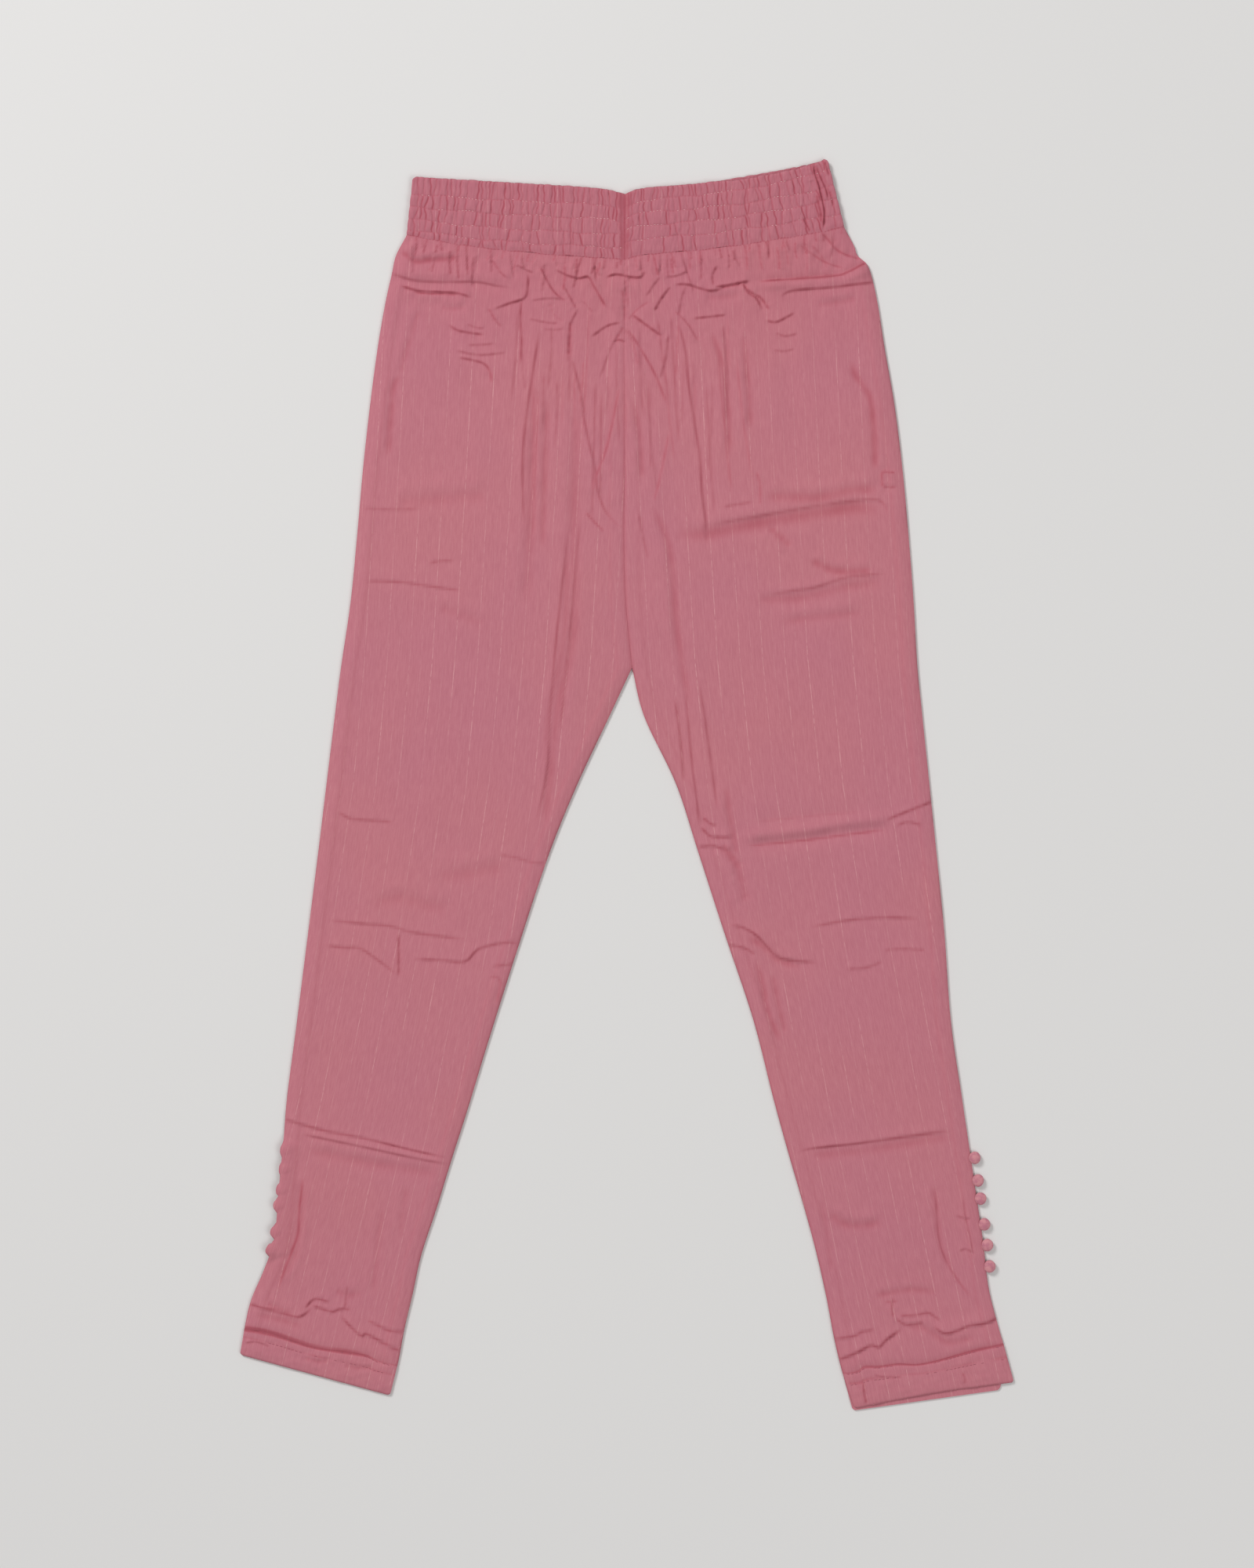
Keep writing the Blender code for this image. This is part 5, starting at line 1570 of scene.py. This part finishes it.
# Materials
PINK = (0.50, 0.171, 0.210, 1.0)
MAUVE = (0.48, 0.163, 0.218, 1.0)
SALMON = (0.52, 0.178, 0.202, 1.0)
# Darker, redder pinks of the painted shade in creases, seams, edges and hollows
CREASE_SHADE_PINK = (0.38, 0.022, 0.048, 1.0)
DEEP_CREASE_SHADE_PINK = (0.33, 0.056, 0.080, 1.0)
STRIPE_PINK = (0.78, 0.42, 0.42, 1.0)
STREAK_PINK = (0.42, 0.125, 0.165, 1.0)
PALE_PINK = (0.60, 0.245, 0.275, 1.0)
PALE_THREAD = (0.80, 0.46, 0.48, 1.0)
PINK_THREAD = (0.42, 0.11, 0.15, 1.0)
FLOOR_GREY = (0.72, 0.71, 0.70, 1.0)
# The pinstripes' pitch in metres, and how far each reaches to either side as a share of it
STRIPE_PITCH = 0.0090
STRIPE_WIDTH = 0.036
# How strongly the painted shade darkens the cloth
CREASE_SHADE_STRENGTH = 0.8
CLOTH_SHADER = {"Sheen Weight": 0.12, "Sheen Roughness": 0.45, "Specular IOR Level": 0.25}

# How closely a noise runs across the grain and along it, to the metre
THREADS = (1400.0, 60.0)
SLUBS = (600.0, 130.0)
WEAVE = (2600.0, 1900.0)
WEAVE_SLUBS = (1300.0, 40.0)
# The same for what breaks the pinstripes: from stripe to stripe, and along each
DASHES = (7.3, 230.0)
RUNS = (3.1, 14.0)


def feed(tree, socket, value):
    """Gives a socket a value of its own, or links another node's output to it."""
    if isinstance(value, bpy.types.NodeSocket):
        tree.links.new(value, socket)
    else:
        socket.default_value = value


def add_node(tree, kind, inputs=(), **settings):
    """A new node with settings; inputs are pairs of a socket's name or number and what feeds it."""
    made = tree.nodes.new(kind)
    for key, value in settings.items():
        setattr(made, key, value)
    for socket, value in inputs:
        feed(tree, made.inputs[socket], value)
    return made


def maths(tree, operation, *values, clamp=False):
    inputs = enumerate(values)
    return add_node(tree, "ShaderNodeMath", inputs, operation=operation, use_clamp=clamp).outputs[0]


def times(tree, first, second):
    return maths(tree, "MULTIPLY", first, second)


def noise(tree, vector, scale, detail):
    inputs = (("Vector", vector), ("Scale", scale), ("Detail", detail))
    return add_node(tree, "ShaderNodeTexNoise", inputs).outputs["Fac"]


def cloth_noise(tree, first, second, scales, detail):
    """A noise whose two ways run at scales of their own."""
    inputs = ((0, times(tree, first, scales[0])), (1, times(tree, second, scales[1])))
    return noise(tree, add_node(tree, "ShaderNodeCombineXYZ", inputs).outputs[0], 1.0, detail)


def mix(tree, share, first, second):
    made = add_node(tree, "ShaderNodeMix", data_type="RGBA", clamp_factor=True)
    feed(tree, made.inputs[0], share)
    colour_inputs = [socket for socket in made.inputs if socket.type == "RGBA"]
    for socket, value in zip(colour_inputs, (first, second)):
        feed(tree, socket, value)
    return [socket for socket in made.outputs if socket.type == "RGBA"][0]


def spread(tree, value, low, high):
    """value moved so that low becomes 0 and high becomes 1."""
    inputs = (("Value", value), ("From Min", low), ("From Max", high))
    return add_node(tree, "ShaderNodeMapRange", inputs).outputs["Result"]


def add_bump(tree, shader, height, strength, distance):
    """Fine relief that only the shading shows."""
    inputs = (("Strength", strength), ("Distance", distance), ("Height", height))
    feed(tree, shader.inputs["Normal"], add_node(tree, "ShaderNodeBump", inputs).outputs[0])


def new_material(name, values):
    """A material, its node tree and its shader, which has the values given for its inputs."""
    made = bpy.data.materials.new(name)
    made.use_nodes = True
    shader = made.node_tree.nodes["Principled BSDF"]
    for socket, value in values.items():
        shader.inputs[socket].default_value = value
    return made, made.node_tree, shader


def object_place(tree):
    return add_node(tree, "ShaderNodeTexCoord").outputs["Object"]


def streaked_ground(tree, across, along, gather_shade):
    """The cloth's pink, which drifts in hue and has fine dark and pale streaks, and which can be drawn
    darker and redder all over as painted shade for gathered cloth.
    """
    patches = spread(tree, noise(tree, object_place(tree), 7.0, 2.0), 0.35, 0.65)
    ground = mix(tree, patches, SALMON, MAUVE)
    ground = mix(tree, 0.65, ground, PINK)
    ground = mix(tree, gather_shade, ground, STREAK_PINK)
    threads = cloth_noise(tree, across, along, THREADS, 3.0)
    slubs = cloth_noise(tree, across, along, SLUBS, 3.0)
    streaks = maths(tree, "ADD", times(tree, threads, 0.6), times(tree, slubs, 0.4))
    ground = mix(tree, times(tree, spread(tree, streaks, 0.48, 0.70), 0.45), ground, STREAK_PINK)
    return mix(tree, times(tree, spread(tree, streaks, 0.50, 0.30), 0.30), ground, PALE_PINK)


def pinstripes(tree, across, along):
    """Where a pinstripe runs, and how it glints: each second one less, and all of them broken."""
    line = maths(tree, "DIVIDE", across, STRIPE_PITCH)
    number = maths(tree, "ROUND", line)
    from_line = maths(tree, "ABSOLUTE", maths(tree, "SUBTRACT", line, number))
    on_line = maths(tree, "LESS_THAN", from_line, STRIPE_WIDTH)
    odd = maths(tree, "ABSOLUTE", maths(tree, "MODULO", number, 2.0))
    bright = maths(tree, "SUBTRACT", 1.0, times(tree, odd, 0.62))
    dashes = spread(tree, cloth_noise(tree, number, along, DASHES, 1.0), 0.30, 0.60)
    runs = spread(tree, cloth_noise(tree, number, along, RUNS, 1.0), 0.25, 0.65)
    return on_line, times(tree, times(tree, dashes, runs), times(tree, on_line, bright))


def cloth_material(name, stripe, depth, gather_shade):
    """Slub cotton: a streaked pink ground, broken glinting pinstripes, and painted shade that draws creases,
    seams and edges darker and redder.
    """
    made, tree, shader = new_material(name, CLOTH_SHADER)
    cloth = add_node(tree, "ShaderNodeUVMap", uv_map="cloth").outputs["UV"]
    across, along, _ = add_node(tree, "ShaderNodeSeparateXYZ", ((0, cloth),)).outputs
    on_line, glint = pinstripes(tree, across, along)
    ground = streaked_ground(tree, across, along, gather_shade)
    ground = mix(tree, times(tree, glint, stripe), ground, STRIPE_PINK)
    # The crease attribute holds painted shade, kept as its cube root; the depth makes the painted shade
    # stronger or weaker
    root = add_node(tree, "ShaderNodeAttribute", attribute_name="crease").outputs["Fac"]
    crease = maths(tree, "POWER", root, 3.0)
    shade_pink = mix(tree, crease, CREASE_SHADE_PINK, DEEP_CREASE_SHADE_PINK)
    painted_shade_share = maths(tree, "MULTIPLY", crease, CREASE_SHADE_STRENGTH * depth, clamp=True)
    feed(tree, shader.inputs["Base Color"], mix(tree, painted_shade_share, ground, shade_pink))
    weave = times(tree, cloth_noise(tree, across, along, WEAVE, 2.0), 0.5)
    slub = times(tree, cloth_noise(tree, across, along, WEAVE_SLUBS, 2.0), 0.5)
    relief = maths(tree, "ADD", maths(tree, "ADD", weave, slub), times(tree, on_line, 0.25))
    add_bump(tree, shader, relief, strength=0.35, distance=0.0004)
    feed(tree, shader.inputs["Roughness"], maths(tree, "SUBTRACT", 0.86, times(tree, glint, 0.25)))
    return made


def thread_material(name, colour):
    """Twisted thread, with painted shade in fine darker noise patches that stand for the grooves between its
    turns.
    """
    made, tree, shader = new_material(name, {"Roughness": 0.6})
    groove_shade = spread(tree, noise(tree, object_place(tree), 2500.0, 1.0), 0.35, 0.65)
    darker = tuple(0.72 * c for c in colour[:3]) + (1.0,)
    feed(tree, shader.inputs["Base Color"], mix(tree, groove_shade, colour, darker))
    return made


def button_material():
    """The buttons' cloth: finely woven and patchy, without stripes, and paler than the legs' cloth, which is
    painted light that makes the balls look as bright as lit domes.
    """
    made, tree, shader = new_material("button_cloth", {"Roughness": 0.8, "Sheen Weight": 0.15})
    position = object_place(tree)
    weave = noise(tree, position, 2200.0, 2.0)
    broad = noise(tree, position, 260.0, 2.0)
    feed(tree, shader.inputs["Base Color"], mix(tree, spread(tree, broad, 0.4, 0.62), PALE_PINK, MAUVE))
    add_bump(tree, shader, maths(tree, "ADD", weave, broad), strength=0.4, distance=0.0003)
    return made


def button_ring(polar, pulls, phase):
    """One ring of a ball button, of radius 1, whose cloth is pulled together underneath."""
    under = max(0.0, -math.cos(polar) + 0.25)
    ring = []
    for turn in range(BUTTON_TURNS):
        angle = math.tau * turn / BUTTON_TURNS
        fold = 1.0 - BUTTON_PULL_DEPTH * under * (0.5 + 0.5 * math.cos(pulls * angle + phase))
        uneven = 1.0 - BUTTON_UNEVEN * (1 + math.sin(3 * angle + 4 * polar + phase))
        size = math.sin(polar) * fold * uneven
        ring.append([size * math.cos(angle), size * math.sin(angle), math.cos(polar) * BUTTON_POLE])
    return ring


def button(node, material):
    """A ball button covered in cloth; the right ones sit closer and are plumper than the node."""
    low, high = (np.array(corner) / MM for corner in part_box(node))
    centre, radii = (low + high) / 2, (high - low) / 2
    if centre[0] > 0:
        centre[0] -= BUTTON_INWARD
        radii *= BUTTON_PLUMP
    draw = random.Random(node)
    phase, pulls = draw.uniform(0, 6.28), draw.choice(BUTTON_PULLS)
    points = []
    for ring in range(1, BUTTON_RINGS):
        points += button_ring(math.pi * ring / BUTTON_RINGS, pulls, phase)
    top, bottom = len(points), len(points) + 1
    points += [[0.0, 0.0, BUTTON_POLE], [0.0, 0.0, -BUTTON_POLE]]
    faces = []
    for ring in range(BUTTON_RINGS - 2):
        for turn in range(BUTTON_TURNS):
            a, b = ring * BUTTON_TURNS + turn, ring * BUTTON_TURNS + (turn + 1) % BUTTON_TURNS
            faces.append((a, a + BUTTON_TURNS, b + BUTTON_TURNS, b))
    last = (BUTTON_RINGS - 2) * BUTTON_TURNS
    for turn in range(BUTTON_TURNS):
        following = (turn + 1) % BUTTON_TURNS
        faces.append((top, turn, following))
        faces.append((bottom, last + following, last + turn))
    made = add_mesh("cloth_" + node, centre + radii * np.array(points), faces)
    made.data.materials.append(material)
    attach(made, BODY)
    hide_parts(node)
    return made


def stage():
    """A pale floor, a little below the cloth."""
    reach = FLOOR_REACH / MM
    corners = [(-reach, -reach, 0), (reach, -reach, 0), (reach, reach, 0), (-reach, reach, 0)]
    floor = add_mesh("floor", corners, [(0, 1, 2, 3)])
    floor.location.z = -FLOOR_DROP
    pale, _, _ = new_material("pale_floor", {"Base Color": FLOOR_GREY, "Roughness": 0.9})
    floor.data.materials.append(pale)
    return floor


def area_light(light, target):
    """A round light that faces the target."""
    data = bpy.data.lights.new(light.name, "AREA")
    data.shape = "DISK"
    data.size = light.size
    data.energy = light.power
    made = add_object(light.name, data)
    made.location = light.place
    aim = made.constraints.new("TRACK_TO")
    aim.target = target
    aim.track_axis, aim.up_axis = "TRACK_NEGATIVE_Z", "UP_Y"


def camera_and_light():
    data = bpy.data.cameras.new("camera")
    data.lens, data.sensor_width = LENS, SENSOR
    data.clip_end = CAMERA_CLIP
    camera = add_object("camera", data)
    camera.location = (0.0, CAMERA_Y, LENS * VIEW_LENGTH / SENSOR)
    bpy.context.scene.camera = camera
    target = add_object("light_target", None)
    for light in LIGHTS:
        area_light(light, target)
    world = bpy.data.worlds.new("studio")
    bpy.context.scene.world = world
    world.use_nodes = True
    background = world.node_tree.nodes["Background"]
    background.inputs["Color"].default_value = (1.0, 1.0, 1.0, 1.0)
    background.inputs["Strength"].default_value = WORLD_LIGHT
    bpy.context.scene.view_settings.view_transform = "Standard"


# A sheet's flat cut, in metres, which this script does not use
Cut = namedtuple("Cut", "width length area held")


def sew_rows(name, surface, lines, thread, material, draw):
    """Stitches along lines, each given as the places to ask the surface for and how much shows."""
    places, ways = [], []
    for line, shown in lines:
        x, y, z, _ = surface.at(*line)
        some, their_ways = along_line(x, y, z, thread.pitch, shown, draw)
        places += some
        ways += their_ways
    stitches(name, places, ways, thread, material)


def sew_band(surface, material, draw):
    """The pale thread of the band's stitch rows, which shows here and there."""
    share = np.linspace(*BAND_ROW_SHARES)
    lines = [((share, surface.row(i, share)), row.pale) for i, row in enumerate(surface.rows)]
    sew_rows(f"stitches_band_{surface.side}", surface, lines, BAND_THREAD, material, draw)


def sew_hem(surface, material, draw):
    """The thread along the hem's upper edge and its stitching."""
    share = np.linspace(*HEM_ROW_SHARES)
    lines = [((np.full(share.shape, down), share), HEM_THREAD_SHOWN) for down in HEM_ROWS]
    sew_rows(f"stitches_hem_{surface.shape.side}", surface, lines, HEM_THREAD, material, draw)


def main():
    camera_and_light()
    floor = stage()
    cotton = cloth_material("slub_cotton", stripe=0.36, depth=1.0, gather_shade=0.0)
    # The band's cloth is the same cotton, drawn darker and redder all over and with stronger crease shade:
    # painted shade of its gathers
    band_cotton = cloth_material("shirred_cotton", stripe=0.35, depth=1.1, gather_shade=0.5)
    pale_thread = thread_material("pale_thread", PALE_THREAD)
    pink_thread = thread_material("pink_thread", PINK_THREAD)
    covered = button_material()
    sheets = {}
    draw = random.Random(5)
    for side, band, rows in (("left", LEFT_BAND, LEFT_ROWS), ("right", RIGHT_BAND, RIGHT_ROWS)):
        shape = LegShape(side)
        band_surface = BandSurface(side, band, rows)
        sheets["front", side] = front_panel(shape, FrontSurface(shape, band_surface), cotton)
        sheets["back", side] = back_panel(shape, cotton)
        back_foot = shape.foot if side == "left" else RIGHT_BACK_HEM
        hem_surface, sheets["hem_front", side] = hem_panel(shape, "front", shape.foot, cotton)
        _, sheets["hem_back", side] = hem_panel(shape, "back", back_foot, cotton)
        sheets["waistband_front", side] = band_front(band_surface, band_cotton)
        sheets["waistband_back", side] = band_back(band_surface, band_cotton)
        sew_band(band_surface, pale_thread, draw)
        sew_hem(hem_surface, pink_thread, draw)
    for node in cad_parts:
        if node.startswith("button"):
            button(node, covered)


main()
